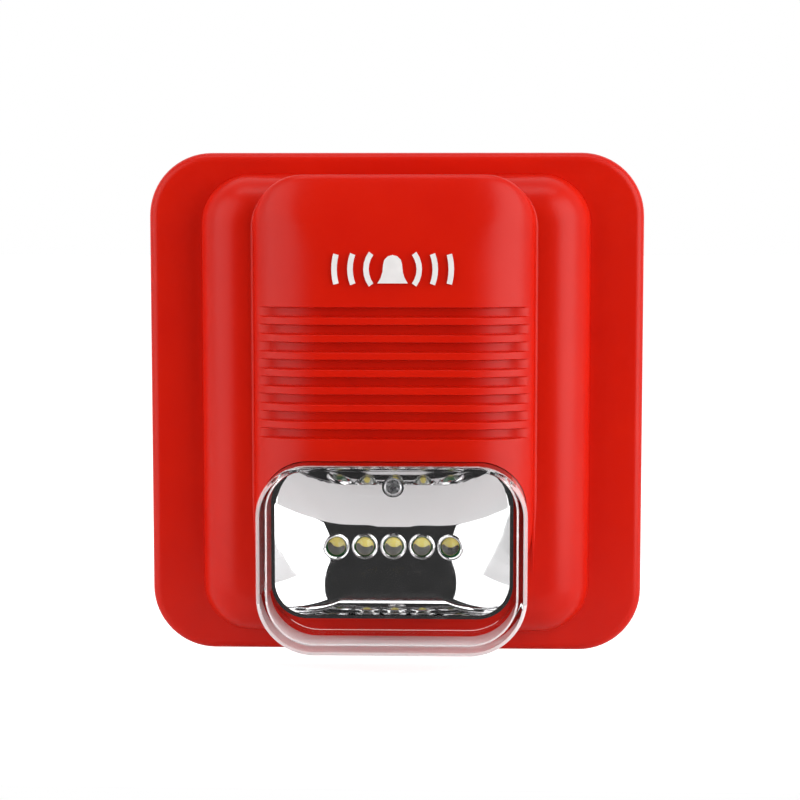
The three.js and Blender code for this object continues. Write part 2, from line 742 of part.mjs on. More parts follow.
function piezoParts() {
  const discBack = PIEZO.front - PIEZO.discThickness;
  const waferFront = discBack - 0.1;
  const ringOuter = HORN.radius - HORN.wall - GAP;
  const ringInner = PIEZO.discRadius - 1.5;
  const ring = turned([
    [ringInner, HORN.back],
    [ringOuter, HORN.back],
    [ringOuter, discBack - GAP],
    [ringInner, discBack - GAP],
    [ringInner, HORN.back],
  ], 24);
  const disc = rod(PIEZO.discRadius, discBack, PIEZO.front, 24);
  const wafer = rod(PIEZO.waferRadius, waferFront - PIEZO.waferThickness, waferFront, 20);
  return [
    named('piezo_disc', disc, brass(), [0, HORN.y, 0]),
    named('piezo_ceramic', wafer, ceramic(), [0, HORN.y, 0]),
    named('piezo_retainer', ring, ivoryPlastic(), [0, HORN.y, 0]),
  ];
}

// ---------- Wiring inside the sounder ----------

function internalWires() {
  const start = boardFront + 0.8;
  const ledBack = LED_BOARD.back - GAP;
  const discBack = PIEZO.front - PIEZO.discThickness - 2 * GAP;
  const holeY = WIRE_HOLE.y;
  const red = 0xb3201a;
  const black = 0x202022;
  const wires = [
    ['led_wire_positive', red, [[-2, -36, start], [-2, -39, 18.4], [-2, holeY, 20.4], [-2, holeY, ledBack]]],
    ['led_wire_negative', black, [[2, -36, start], [2, -39, 18.4], [2, holeY, 20.4], [2, holeY, ledBack]]],
    ['piezo_wire_centre', red, [[-5, 0, start], [-5, 3, 19.5], [-3, 10, 22.4], [-2, 13, discBack - 1]]],
    ['piezo_wire_rim', black, [[5, 0, start], [7, 1, 19.5], [11, 3, 22.6], [15, 6, discBack]]],
  ];
  return wires.map(([name, color, points]) => named(name, wireAlong(points, 0.6), material(color, 0.5)));
}

// ---------- Wall base and its terminals ----------

function wallBase() {
  const half = BASE.height / 2;
  const outline = roundedRect(BASE.width, -half, half, BASE.corner);
  const inner = half - BASE.rimWall;
  const inside = roundedRect(BASE.width - 2 * BASE.rimWall, -inner, inner, BASE.corner - BASE.rimWall);
  const tray = cut(slab(outline, 0, BASE.rim), slab(inside, BASE.thickness, BASE.rim + 1));
  const onFloor = BASE.thickness - 0.5;
  const lockHalf = LOCK.blockWidth / 2;
  const sockets = PEGS.map(([x, y]) => rod(PEG.socketRadius, onFloor, BASE.rim, 16, x, y));
  const pads = wallSlots(WALL_SLOT.radius + 3, onFloor, BASE.thickness + WALL_SLOT.padHeight);
  const collar = rod(CABLE_ENTRY.radius + 2, onFloor, BASE.thickness + 2, 28, 0, CABLE_ENTRY.y);
  const lockTab = block([-lockHalf, lockHalf], [LOCK.tabBottom, LOCK.tabTop], [onFloor, LOCK.tabFront]);
  const body = join(tray, ...sockets, ...pads, collar, lockTab);
  const lockSlot = [-LOCK.shank - GAP, LOCK.shank + GAP];
  const rimGap = [-lockHalf - 2 * GAP, lockHalf + 2 * GAP];
  const tools = [
    ...PEGS.map(([x, y]) => rod(PEG.radius + GAP, BASE.thickness, BASE.rim + 1, 12, x, y)),
    ...wallSlots(WALL_SLOT.radius, -1, BASE.thickness + 3),
    rod(CABLE_ENTRY.radius, -1, BASE.thickness + 3, 28, 0, CABLE_ENTRY.y),
    block(lockSlot, [LOCK.tabBottom - 1, LOCK.tabTop + 1], [LOCK.z - LOCK.shank - GAP, LOCK.tabFront + 1]),
    block(rimGap, [-half - 1, -half + BASE.rimWall + 0.4], [BASE.thickness + 0.4, BASE.rim + 1]),
  ];
  return named('wall_base', cut(body, ...tools), redAbs());
}

// Two slots side by side and two one above the other, for the usual back boxes.
function wallSlots(radius, z0, z1) {
  const across = [-1, 1].map((side) => (
    slab(stadium(radius, WALL_SLOT.run), z0, z1).translate(side * WALL_SLOT.spacingX / 2, 0, 0)
  ));
  const upright = [-1, 1].map((side) => (
    slab(stadium(radius, WALL_SLOT.run), z0, z1)
      .rotateZ(Math.PI / 2)
      .translate(0, side * WALL_SLOT.spacingY / 2, 0)
  ));
  return [...across, ...upright];
}

const terminalX = (i) => (i - (TERMINAL.count - 1) / 2) * TERMINAL.pitch;

function terminalBlock() {
  const { width, height, back, front, y } = TERMINAL;
  const body = block([-width / 2, width / 2], [y - height / 2, y + height / 2], [back, front]);
  const tools = [];
  for (let i = 0; i < TERMINAL.count; i += 1) {
    const x = terminalX(i);
    tools.push(rod(2.6, back + 3, front + 1, 16, x, y - 2.6));
    tools.push(block([x - 2.3, x + 2.3], [y + 1.6, y + 4.6], [back + 1.6, front + 1]));
    tools.push(block([x - 1.5, x + 1.5], [y - height / 2 - 1, y + 4.6], [back + 1.6, back + 4.4]));
  }
  return named('terminal_block', cut(body, ...tools), ivoryPlastic());
}

// A bent strip, drawn from the side, whose free end presses on a pin of the main board.
function contactSpring() {
  const thickness = 0.4;
  const foot = TERMINAL.back + 1.9;
  const top = MAIN_BOARD.back - GAP - PIN_LENGTH - GAP;
  const side = new THREE.Shape();
  side.moveTo(2, foot);
  side.lineTo(4.2, foot);
  side.lineTo(4.2, top - 1);
  side.lineTo(2.4, top);
  side.lineTo(2.4, top - thickness);
  side.lineTo(4.2 - thickness, top - 1 - thickness);
  side.lineTo(4.2 - thickness, foot + thickness);
  side.lineTo(2, foot + thickness);
  side.closePath();
  const width = 3.6;
  const strip = new THREE.ExtrudeGeometry(side, { depth: width, bevelEnabled: false });
  return strip.translate(0, 0, -width / 2).rotateX(Math.PI / 2).rotateZ(Math.PI / 2);
}

function terminalScrew() {
  const screw = turned([[0, 0], [1.4, 0], [1.4, 2.2], [2.2, 2.2], [2.2, 4.2], [0, 4.2]], 12);
  return cut(screw, block([-3, 3], [-0.4, 0.4], [3.3, 5]));
}

function terminalHardware() {
  const pieces = [];
  for (let i = 0; i < TERMINAL.count; i += 1) {
    const x = terminalX(i);
    const screwPlace = [x, TERMINAL.y - 2.6, TERMINAL.back + 3.2];
    pieces.push(named(`terminal_screw_${i + 1}`, terminalScrew(), steel(), screwPlace));
    pieces.push(named(`contact_spring_${i + 1}`, contactSpring(), brass(), [x, TERMINAL.y, 0]));
  }
  return pieces;
}

function contactPins() {
  const pins = [];
  for (let i = 0; i < TERMINAL.count; i += 1) {
    const pin = rod(0.9, 0, PIN_LENGTH, 10);
    pins.push(onBoardBack(`contact_pin_${i + 1}`, pin, brass(), terminalX(i), TERMINAL.y + 3));
  }
  return pins;
}

// ---------- Assembly ----------

const hornStrobe = new THREE.Group();
hornStrobe.rotation.x = Math.PI / 2;
hornStrobe.add(
  frontCover(),
  lockScrew(),
  ...alarmSign(),
  strobeLens(),
  reflector(),
  reflectorScrew(),
  ledBoard(),
  ledBoardScrew('left', -LED_POST.x),
  ledBoardScrew('right', LED_POST.x),
  mainBoard(),
  ...boardScrewPlaces.map((_, i) => boardScrew(i)),
  ...transformer(),
  ...boardParts(),
  ...settingSwitch(),
  hornChamber(),
  ...piezoParts(),
  ...internalWires(),
  wallBase(),
  terminalBlock(),
  ...terminalHardware(),
  ...contactPins(),
);
for (let i = 0; i < LED.count; i += 1) hornStrobe.add(strobeLed(i));

export default hornStrobe;
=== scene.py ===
# Horn strobe: fine meshes, materials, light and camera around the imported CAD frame.
#
# Shapes are worked out as seen from the front, in millimetres: x to the right, y up and z out of
# the wall. place() turns them into the frame's own coordinates, in metres, with -Y towards the viewer.

import json
import math
from collections import namedtuple

import bmesh
import bpy
import numpy as np
from mathutils import Matrix, Vector


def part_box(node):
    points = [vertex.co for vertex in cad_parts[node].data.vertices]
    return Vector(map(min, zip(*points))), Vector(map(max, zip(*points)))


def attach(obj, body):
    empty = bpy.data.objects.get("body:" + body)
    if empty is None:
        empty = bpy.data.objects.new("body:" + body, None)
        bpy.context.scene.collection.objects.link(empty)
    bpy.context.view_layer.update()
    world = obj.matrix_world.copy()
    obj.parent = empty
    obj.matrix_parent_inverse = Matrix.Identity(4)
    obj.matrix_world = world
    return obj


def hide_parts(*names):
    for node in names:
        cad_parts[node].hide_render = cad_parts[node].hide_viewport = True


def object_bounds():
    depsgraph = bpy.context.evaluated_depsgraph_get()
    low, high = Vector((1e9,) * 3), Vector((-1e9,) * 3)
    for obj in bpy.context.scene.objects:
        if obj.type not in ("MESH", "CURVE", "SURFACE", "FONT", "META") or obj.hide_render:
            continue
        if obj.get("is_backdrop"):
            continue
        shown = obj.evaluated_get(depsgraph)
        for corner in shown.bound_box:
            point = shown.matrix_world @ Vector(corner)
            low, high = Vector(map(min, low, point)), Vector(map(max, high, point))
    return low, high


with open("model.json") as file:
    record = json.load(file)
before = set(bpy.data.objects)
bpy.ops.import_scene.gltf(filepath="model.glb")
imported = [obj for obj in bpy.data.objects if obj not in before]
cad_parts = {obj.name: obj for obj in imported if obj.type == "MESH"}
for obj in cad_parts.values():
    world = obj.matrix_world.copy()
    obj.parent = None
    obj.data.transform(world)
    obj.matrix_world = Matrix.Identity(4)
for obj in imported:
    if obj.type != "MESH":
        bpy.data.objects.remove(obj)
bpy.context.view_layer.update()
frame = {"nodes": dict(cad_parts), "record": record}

MM = 0.001

# ---------- The frame, as seen from the front ----------

Box = namedtuple("Box", "x0 x1 y0 y1 z0 z1")


def front_box(node):
    low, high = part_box(node)
    return Box(low.x / MM, high.x / MM, low.z / MM, high.z / MM, -high.y / MM, -low.y / MM)


COVER = front_box("front_cover")
LENS = front_box("strobe_lens")
BOWL = front_box("reflector")
BASE = front_box("wall_base")
BOARD = front_box("main_board")
BOWL_SCREW = front_box("reflector_screw")
BOWL_SCREW_Y = (BOWL_SCREW.y0 + BOWL_SCREW.y1) / 2
LOCK_SCREW = front_box("cover_lock_screw")
LOCK_TRAVEL = 5.0
LED_BOARD = front_box("led_board")

# ---------- Driving dimensions, in millimetres ----------

PLATE_FRONT = 14.0
PLATE_CORNER = 18.0
PLATE_EDGE = 2.5
TIER_HALF_WIDTH = 55.5
TIER_HALF_HEIGHT = 65.75
TIER_CORNER = 14.0
TIER_FRONT = 27.0
TIER_ROLL = 12.0
PANEL_HALF_WIDTH = 39.5
PANEL_TOP = 65.4
PANEL_CORNER = 14.0
PANEL_FRONT = COVER.z1
PANEL_BACK = 18.0
PANEL_ROLL = 11.0
PANEL_TOP_ROLL = 4.0
PANEL_ROLL_WIDTH = 20.0
CREASE_RADIUS = 1.0
CREASE_TURN = 50
CREASE_STEPS = 12
ROLL_POWER = 1.8
WALL = 2.4
PANEL_WALL = 3.2
SEAT_FRONT = 22.0
LENS_LOW_CORNER = 16.0
LENS_TOP_CORNER = 14.0
LENS_ROLL = 1.6
LENS_WALL = 2.4
LENS_THIN_TOP = 1.4
LENS_INNER_ROLL = 0.8
LENS_CLEAR_BACK = 32.5
GAP = 0.3
LENS_GAP = 0.15
PANEL_LOW = -62.0
PANEL_LOW_INSIDE = -40.0
LIP_FULL = -26.0
LIP_END = -54.0
LIP_FOOT = TIER_FRONT - 3.0
GROOVES = 8
GROOVE_PITCH = 4.84
GROOVE_WIDTH = 2.6
GROOVE_DEPTH = 2.2
GROOVE_TOP = 28.8
GROOVE_FULL = 32.5
GROOVE_END = 38.4
GROOVE_EDGE = 0.4
GROOVE_EDGE_ROWS = (-0.24, -0.16, -0.08, 0.0, 0.08, 0.16, 0.24)

PEG_RADIUS = 2.5
PEG_SOCKET_RADIUS = 4.2
PEG_PLACES = [(x, y) for y in (-60, 60) for x in (-58, 58)]
BOSS_RADIUS = 3.2
BOSS_BORE_RADIUS = 1.6
BOWL_BORE_RADIUS = 1.8
BOARD_PILLARS = [(x, y) for x in (-42, 42) for y in (-40, 44)]
WIRE_HOLE_Y = -41.5

LEDS = 5
CORNER_STEPS = 16
SMALLEST_CORNER = 0.4


# ---------- Mesh building ----------

def place(points):
    """Front-view millimetres to the frame's metres."""
    points = np.asarray(points, float)
    return np.column_stack([points[:, 0], -points[:, 2], points[:, 1]]) * MM


def new_object(name, points, faces):
    """A mesh object with merged points and faces that all look outwards."""
    mesh = bpy.data.meshes.new(name)
    mesh.from_pydata(place(points).tolist(), [], faces)
    mesh.update()
    made = bmesh.new()
    made.from_mesh(mesh)
    bmesh.ops.remove_doubles(made, verts=made.verts, dist=1e-7)
    bmesh.ops.recalc_face_normals(made, faces=made.faces)
    made.to_mesh(mesh)
    made.free()
    obj = bpy.data.objects.new(name, mesh)
    bpy.context.scene.collection.objects.link(obj)
    return obj


def outline(x0, x1, y0, y1, low_radius, high_radius=None, steps=CORNER_STEPS):
    """A rounded rectangle's points, anticlockwise, with one radius below and one above."""
    high_radius = low_radius if high_radius is None else high_radius
    corners = [
        (x1 - low_radius, y0 + low_radius, low_radius, -90),
        (x1 - high_radius, y1 - high_radius, high_radius, 0),
        (x0 + high_radius, y1 - high_radius, high_radius, 90),
        (x0 + low_radius, y0 + low_radius, low_radius, 180),
    ]
    points = []
    for cx, cy, radius, start in corners:
        for k in range(steps + 1):
            angle = math.radians(start + 90 * k / steps)
            points.append((cx + radius * math.cos(angle), cy + radius * math.sin(angle)))
    return points


def ring(points, z):
    return [(x, y, z) for x, y in points]


def loft(name, rings):
    """A closed skin through rings of equal length, capped at both ends."""
    count = len(rings[0])
    points = [p for one in rings for p in one]
    faces = []
    for i in range(len(rings) - 1):
        for j in range(count):
            k = (j + 1) % count
            faces.append((i * count + j, i * count + k, (i + 1) * count + k, (i + 1) * count + j))
    faces.append(tuple(reversed(range(count))))
    faces.append(tuple((len(rings) - 1) * count + j for j in range(count)))
    return new_object(name, points, faces)


def rolled_rings(x0, x1, y0, y1, corner, z_front, roll, width, steps):
    """Rings of a front edge rolled over by a quarter ellipse, from the side to the front."""
    rings = []
    for k in range(steps + 1):
        angle = math.radians(90 * k / steps)
        inset = width * (1 - math.cos(angle))
        radius = max(corner - inset, SMALLEST_CORNER)
        edge = outline(x0 + inset, x1 - inset, y0 + inset, y1 - inset, radius)
        rings.append(ring(edge, z_front - roll + roll * math.sin(angle)))
    return rings


def rolled_slab(name, x0, x1, y0, y1, corner, z_back, z_front, roll, steps, width=None):
    """A slab with rounded corners and a rolled front edge; the roll is as wide as it is deep if not told."""
    width = roll if width is None else width
    rings = rolled_rings(x0, x1, y0, y1, corner, z_front, roll, width, steps)
    inner = width + 1.0
    radius = max(corner - inner, SMALLEST_CORNER)
    flat = ring(outline(x0 + inner, x1 - inner, y0 + inner, y1 - inner, radius), z_front)
    return loft(name, [ring(outline(x0, x1, y0, y1, corner), z_back), *rings, flat])


def prism(name, points, z0, z1):
    return loft(name, [ring(points, z0), ring(points, z1)])


def block(name, x0, x1, y0, y1, z0, z1):
    return prism(name, [(x1, y0), (x1, y1), (x0, y1), (x0, y0)], z0, z1)


def lathe(name, profile, x=0.0, y=0.0, segments=48):
    """A solid turned about a line along z through (x, y); the profile is (radius, z) points."""
    rings = []
    for radius, z in profile:
        angles = [2 * math.pi * k / segments for k in range(segments)]
        rings.append([(x + radius * math.cos(a), y + radius * math.sin(a), z) for a in angles])
    return loft(name, rings)


def rod(name, radius, z0, z1, x=0.0, y=0.0, segments=32):
    return lathe(name, [(radius, z0), (radius, z1)], x, y, segments)


def combine(target, tool, operation):
    """Joins, cuts or intersects a piece with a tool, and removes the tool."""
    modifier = target.modifiers.new("combine", "BOOLEAN")
    modifier.object = tool
    modifier.operation = operation
    modifier.solver = "MANIFOLD"
    graph = bpy.context.evaluated_depsgraph_get()
    mesh = bpy.data.meshes.new_from_object(target.evaluated_get(graph))
    target.modifiers.clear()
    target.data = mesh
    bpy.data.objects.remove(tool)
    return target


def join(target, *tools):
    for tool in tools:
        combine(target, tool, "UNION")
    return target


def cut(target, *tools):
    for tool in tools:
        combine(target, tool, "DIFFERENCE")
    return target


def smooth(obj, angle=32):
    """Smooth shading up to an angle, with normals that follow the larger faces."""
    obj.data.shade_smooth()
    obj.data.set_sharp_from_angle(angle=math.radians(angle))
    modifier = obj.modifiers.new("even_normals", "WEIGHTED_NORMAL")
    modifier.keep_sharp = True
    return obj


def soften(obj, width, segments=3, angle=30):
    """Rounds a piece's sharp edges by a small real bevel."""
    modifier = obj.modifiers.new("edge_rounding", "BEVEL")
    modifier.width = width * MM
    modifier.segments = segments
    modifier.limit_method = "ANGLE"
    modifier.angle_limit = math.radians(angle)
    modifier.harden_normals = True
    return smooth(obj, angle)


def finish_piece(obj, body, slot, material, *replaced):
    """Gives a piece its material and body, and hides the CAD nodes that it stands in for."""
    obj.data.materials.clear()
    obj.data.materials.append(material)
    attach(obj, body)
    if replaced:
        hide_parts(*replaced)
    return obj


# ---------- Materials ----------

def new_material(name, color, roughness, metallic=0.0):
    material = bpy.data.materials.new(name)
    material.use_nodes = True
    shader = material.node_tree.nodes["Principled BSDF"]
    shader.inputs["Base Color"].default_value = (*color, 1)
    shader.inputs["Roughness"].default_value = roughness
    shader.inputs["Metallic"].default_value = metallic
    return material


def shader_of(material):
    return material.node_tree.nodes["Principled BSDF"]


def noise(material, scale, detail=3.0):
    """A noise texture in the piece's own coordinates."""
    nodes, links = material.node_tree.nodes, material.node_tree.links
    place_node = nodes.new("ShaderNodeTexCoord")
    texture = nodes.new("ShaderNodeTexNoise")
    texture.inputs["Scale"].default_value = scale
    texture.inputs["Detail"].default_value = detail
    links.new(place_node.outputs["Object"], texture.inputs["Vector"])
    return texture


def vary_color(material, scale, dark, light):
    """Lets the colour drift between two tones over the surface."""
    nodes, links = material.node_tree.nodes, material.node_tree.links
    ramp = nodes.new("ShaderNodeValToRGB")
    ramp.color_ramp.elements[0].position = 0.3
    ramp.color_ramp.elements[0].color = (*dark, 1)
    ramp.color_ramp.elements[1].position = 0.7
    ramp.color_ramp.elements[1].color = (*light, 1)
    links.new(noise(material, scale).outputs["Fac"], ramp.inputs["Fac"])
    links.new(ramp.outputs["Color"], shader_of(material).inputs["Base Color"])
    return material


def vary_roughness(material, scale, low, high, detail=4.0):
    nodes, links = material.node_tree.nodes, material.node_tree.links
    spread = nodes.new("ShaderNodeMapRange")
    spread.inputs["From Min"].default_value = 0.3
    spread.inputs["From Max"].default_value = 0.7
    spread.inputs["To Min"].default_value = low
    spread.inputs["To Max"].default_value = high
    links.new(noise(material, scale, detail).outputs["Fac"], spread.inputs["Value"])
    links.new(spread.outputs["Result"], shader_of(material).inputs["Roughness"])
    return material


def add_bump(material, scale, height, detail=2.0):
    """A fine surface texture: height is in millimetres."""
    nodes, links = material.node_tree.nodes, material.node_tree.links
    bump = nodes.new("ShaderNodeBump")
    bump.inputs["Distance"].default_value = height * MM
    links.new(noise(material, scale, detail).outputs["Fac"], bump.inputs["Height"])
    links.new(bump.outputs["Normal"], shader_of(material).inputs["Normal"])
    return material


def red_abs():
    material = new_material("red_abs", (0.65, 0.008, 0.0), 0.34)
    vary_color(material, 60, (0.635, 0.007, 0.0), (0.665, 0.009, 0.0))
    vary_roughness(material, 900, 0.31, 0.38)
    add_bump(material, 2600, 0.018)
    shader_of(material).inputs["Specular IOR Level"].default_value = 0.26
    return material


def pass_light(material, color, pass_mirrored=False):
    """Lets the light of the room through a clear piece, tinted, onto what is behind it."""
    nodes, links = material.node_tree.nodes, material.node_tree.links
    path = nodes.new("ShaderNodeLightPath")
    either = nodes.new("ShaderNodeMath")
    either.operation = "MAXIMUM"
    links.new(path.outputs["Is Shadow Ray"], either.inputs[0])
    links.new(path.outputs["Glossy Depth" if pass_mirrored else "Is Diffuse Ray"], either.inputs[1])
    open_way = nodes.new("ShaderNodeBsdfTransparent")
    open_way.inputs["Color"].default_value = (*color, 1)
    mix = nodes.new("ShaderNodeMixShader")
    links.new(either.outputs["Value"], mix.inputs["Fac"])
    links.new(shader_of(material).outputs["BSDF"], mix.inputs[1])
    links.new(open_way.outputs["BSDF"], mix.inputs[2])
    links.new(mix.outputs["Shader"], nodes["Material Output"].inputs["Surface"])
    return material


def clear_polycarbonate(pass_mirrored=False):
    material = new_material("clear_polycarbonate", (0.985, 0.988, 0.99), 0.02)
    shader = shader_of(material)
    shader.inputs["Transmission Weight"].default_value = 1.0
    shader.inputs["IOR"].default_value = 1.58
    shader.inputs["Specular IOR Level"].default_value = 0.3
    vary_roughness(material, 300, 0.0, 0.03)
    add_bump(material, 90, 0.02, 1.0)
    return pass_light(material, (0.93, 0.935, 0.94), pass_mirrored)


def clear_front():
    """The window's flat front, with so low an index that it hardly mirrors the floor in front of it."""
    material = clear_polycarbonate()
    material.name = "clear_polycarbonate_front"
    shader_of(material).inputs["IOR"].default_value = 1.12
    return material


def hazy_wall(name, clearness):
    """A wall of the window whose moulded plastic is a little milky; clearness runs from 0 to 1."""
    material = clear_polycarbonate(True)
    material.name = name
    shader = shader_of(material)
    shader.inputs["Base Color"].default_value = (1.0, 0.96, 0.965, 1)
    shader.inputs["Transmission Weight"].default_value = clearness
    return material


def led_resin():
    material = new_material("led_resin", (0.97, 0.975, 0.94), 0.02)
    shader = shader_of(material)
    shader.inputs["Transmission Weight"].default_value = 1.0
    shader.inputs["IOR"].default_value = 1.5
    add_bump(material, 200, 0.01, 1.0)
    return pass_light(material, (0.95, 0.95, 0.93))


def chrome_film():
    material = new_material("chrome_film", (0.86, 0.855, 0.86), 0.03, 1.0)
    vary_roughness(material, 220, 0.015, 0.06)
    add_bump(material, 55, 0.05, 2.0)
    return material


def metal(name, color, low, high):
    """A metal whose roughness drifts between two values."""
    material = new_material(name, color, high, 1.0)
    vary_roughness(material, 500, low, high)
    add_bump(material, 1500, 0.006)
    return material


def plastic(name, color, roughness, grain=0.012):
    """A moulded or painted surface with a fine grain, whose height is in millimetres."""
    material = new_material(name, color, roughness)
    lighter = tuple(min(1.0, c * 1.12 + 0.004) for c in color)
    vary_color(material, 150, color, lighter)
    vary_roughness(material, 700, roughness - 0.05, roughness + 0.06)
    add_bump(material, 2200, grain)
    return material


def circuit_laminate():
    """Green board laminate with paler tracks under its lacquer."""
    material = plastic("green_laminate", (0.012, 0.12, 0.04), 0.3, 0.008)
    nodes, links = material.node_tree.nodes, material.node_tree.links
    place_node = nodes.new("ShaderNodeTexCoord")
    upright = nodes.new("ShaderNodeMapping")
    upright.inputs["Rotation"].default_value = (math.radians(90), 0, 0)
    tracks = nodes.new("ShaderNodeTexBrick")
    tracks.inputs["Scale"].default_value = 80
    tracks.inputs["Mortar Size"].default_value = 0.045
    tracks.inputs["Brick Width"].default_value = 0.8
    tracks.inputs["Row Height"].default_value = 0.22
    tracks.inputs["Color1"].default_value = (0.012, 0.13, 0.045, 1)
    tracks.inputs["Color2"].default_value = (0.013, 0.14, 0.048, 1)
    tracks.inputs["Mortar"].default_value = (0.017, 0.17, 0.058, 1)
    links.new(place_node.outputs["Object"], upright.inputs["Vector"])
    links.new(upright.outputs["Vector"], tracks.inputs["Vector"])
    links.new(tracks.outputs["Color"], shader_of(material).inputs["Base Color"])
    return material


def phosphor():
    """The yellow dot on an LED's chip; its faint glow stands in for the light that the dome gathers."""
    material = plastic("phosphor", (0.95, 0.80, 0.22), 0.5)
    shader_of(material).inputs["Emission Color"].default_value = (0.95, 0.75, 0.25, 1)
    shader_of(material).inputs["Emission Strength"].default_value = 0.25
    return material


MATERIALS = {
    "red_abs": red_abs(),
    "white_ink": plastic("white_ink", (0.84, 0.81, 0.80), 0.42),
    "clear_plastic": clear_polycarbonate(),
    "led_resin": led_resin(),
    "chrome_film": chrome_film(),
    "steel": metal("zinc_steel", (0.60, 0.60, 0.61), 0.22, 0.36),
    "brass": metal("brass", (0.72, 0.50, 0.19), 0.2, 0.34),
    "copper": metal("enamelled_copper", (0.62, 0.24, 0.09), 0.22, 0.36),
    "green_laminate": circuit_laminate(),
    "black_plastic": plastic("black_plastic", (0.012, 0.012, 0.014), 0.42),
    "ivory_plastic": plastic("ivory_plastic", (0.74, 0.68, 0.55), 0.42),
    "switch_plastic": plastic("switch_plastic", (0.45, 0.02, 0.015), 0.4),
    "ceramic": plastic("ceramic", (0.78, 0.75, 0.68), 0.5),
    "red_insulation": plastic("red_insulation", (0.42, 0.01, 0.008), 0.4),
    "black_insulation": plastic("black_insulation", (0.015, 0.015, 0.016), 0.4),
    "phosphor": phosphor(),
    "window_front": clear_front(),
    "window_side": hazy_wall("clear_polycarbonate_side", 0.7),
    "window_bottom": hazy_wall("clear_polycarbonate_bottom", 0.35),
}


# ---------- Front cover ----------

def panel_height(x, y):
    """How far out of the wall the panel's surface lies at a point, and its outward normal there.

    The roll is deep along the sides and shallow along the top, where a straight wall stands below it.
    Beside the window only a lip of the panel is left, and it sinks into the step behind it.
    """
    half, low, radius = PANEL_HALF_WIDTH, PANEL_LOW, PANEL_CORNER
    middle = (PANEL_TOP + low) / 2
    right, up = math.copysign(1, x), math.copysign(1, y - middle)
    qx = abs(x) - (half - radius)
    qy = abs(y - middle) - ((PANEL_TOP - low) / 2 - radius)
    outside = math.hypot(max(qx, 0), max(qy, 0))
    inside = radius - outside
    if qx < 0 and qy < 0:
        inside += (abs(qx) ** -3 + abs(qy) ** -3) ** (-1 / 3)
    if outside > 1e-9:
        away = (max(qx, 0) / outside * right, max(qy, 0) / outside * up)
    elif qx > qy:
        away = (right, 0.0)
    else:
        away = (0.0, up)
    in_side = clamp(1 - (half - abs(x)) / PANEL_ROLL_WIDTH)
    in_top = clamp(1 - (PANEL_TOP - y) / PANEL_ROLL_WIDTH)
    roll = PANEL_ROLL
    if in_top > 0:
        roll -= (PANEL_ROLL - PANEL_TOP_ROLL) * in_top ** 2 / (in_side ** 2 + in_top ** 2)
    across = clamp(1 - inside / PANEL_ROLL_WIDTH)
    height = (1 - across ** ROLL_POWER) ** (1 / ROLL_POWER)
    tilt = math.atan2(across ** (ROLL_POWER - 1) * roll, height ** (ROLL_POWER - 1) * PANEL_ROLL_WIDTH)
    normal = (away[0] * math.sin(tilt), away[1] * math.sin(tilt), math.cos(tilt))
    lip = ease((y - LIP_END) / (LIP_FULL - LIP_END))
    return LIP_FOOT + (PANEL_FRONT - roll * (1 - height) - LIP_FOOT) * lip, normal


def clamp(value):
    return min(1.0, max(0.0, value))


def ease(value):
    """A smooth step from 0 to 1."""
    value = clamp(value)
    return value * value * (3 - 2 * value)


def groove_depth(x, y):
    """How deep the grooves are at a point; they fade out before the panel's sides end."""
    fade = 1 - ease((abs(x) - GROOVE_FULL) / (GROOVE_END - GROOVE_FULL))
    deepest = 0.0
    for i in range(GROOVES):
        top = GROOVE_TOP - i * GROOVE_PITCH
        inside = min(top - y, y - (top - GROOVE_WIDTH))
        deepest = max(deepest, ease(0.5 + inside / GROOVE_EDGE))
    return GROOVE_DEPTH * fade * deepest


def panel_rows():
    """Row heights: close together over the grooves' edges and the rolled top."""
    rows = {-20.0, -14.0, -10.0, *np.linspace(PANEL_LOW + PANEL_CORNER, LIP_FULL, 10)}
    for i in range(GROOVES):
        top = GROOVE_TOP - i * GROOVE_PITCH
        for edge in (top, top - GROOVE_WIDTH):
            rows.update(edge + offset for offset in GROOVE_EDGE_ROWS)
        rows.add(top - GROOVE_WIDTH / 2)
        rows.add(top + (GROOVE_PITCH - GROOVE_WIDTH) / 2)
    rows.update(np.linspace(GROOVE_TOP + 3, PANEL_TOP - PANEL_CORNER, 8))
    for k in range(19):
        arc = PANEL_CORNER * (1 - math.sin(math.radians(90 * k / 18)))
        rows.update((PANEL_TOP - arc, PANEL_LOW + arc))
    return sorted(rows)


def panel_columns():
    """Places across the panel, as shares of its half width: close together on the rolled sides."""
    roll = PANEL_ROLL_WIDTH / PANEL_HALF_WIDTH
    side = [1 - roll * (1 - math.cos(math.radians(90 * k / 16))) for k in range(17)]
    flat = np.linspace(0, 1 - roll, 12, endpoint=False)
    right = sorted(set(side) | set(flat))
    return [-s for s in reversed(right[1:])] + right


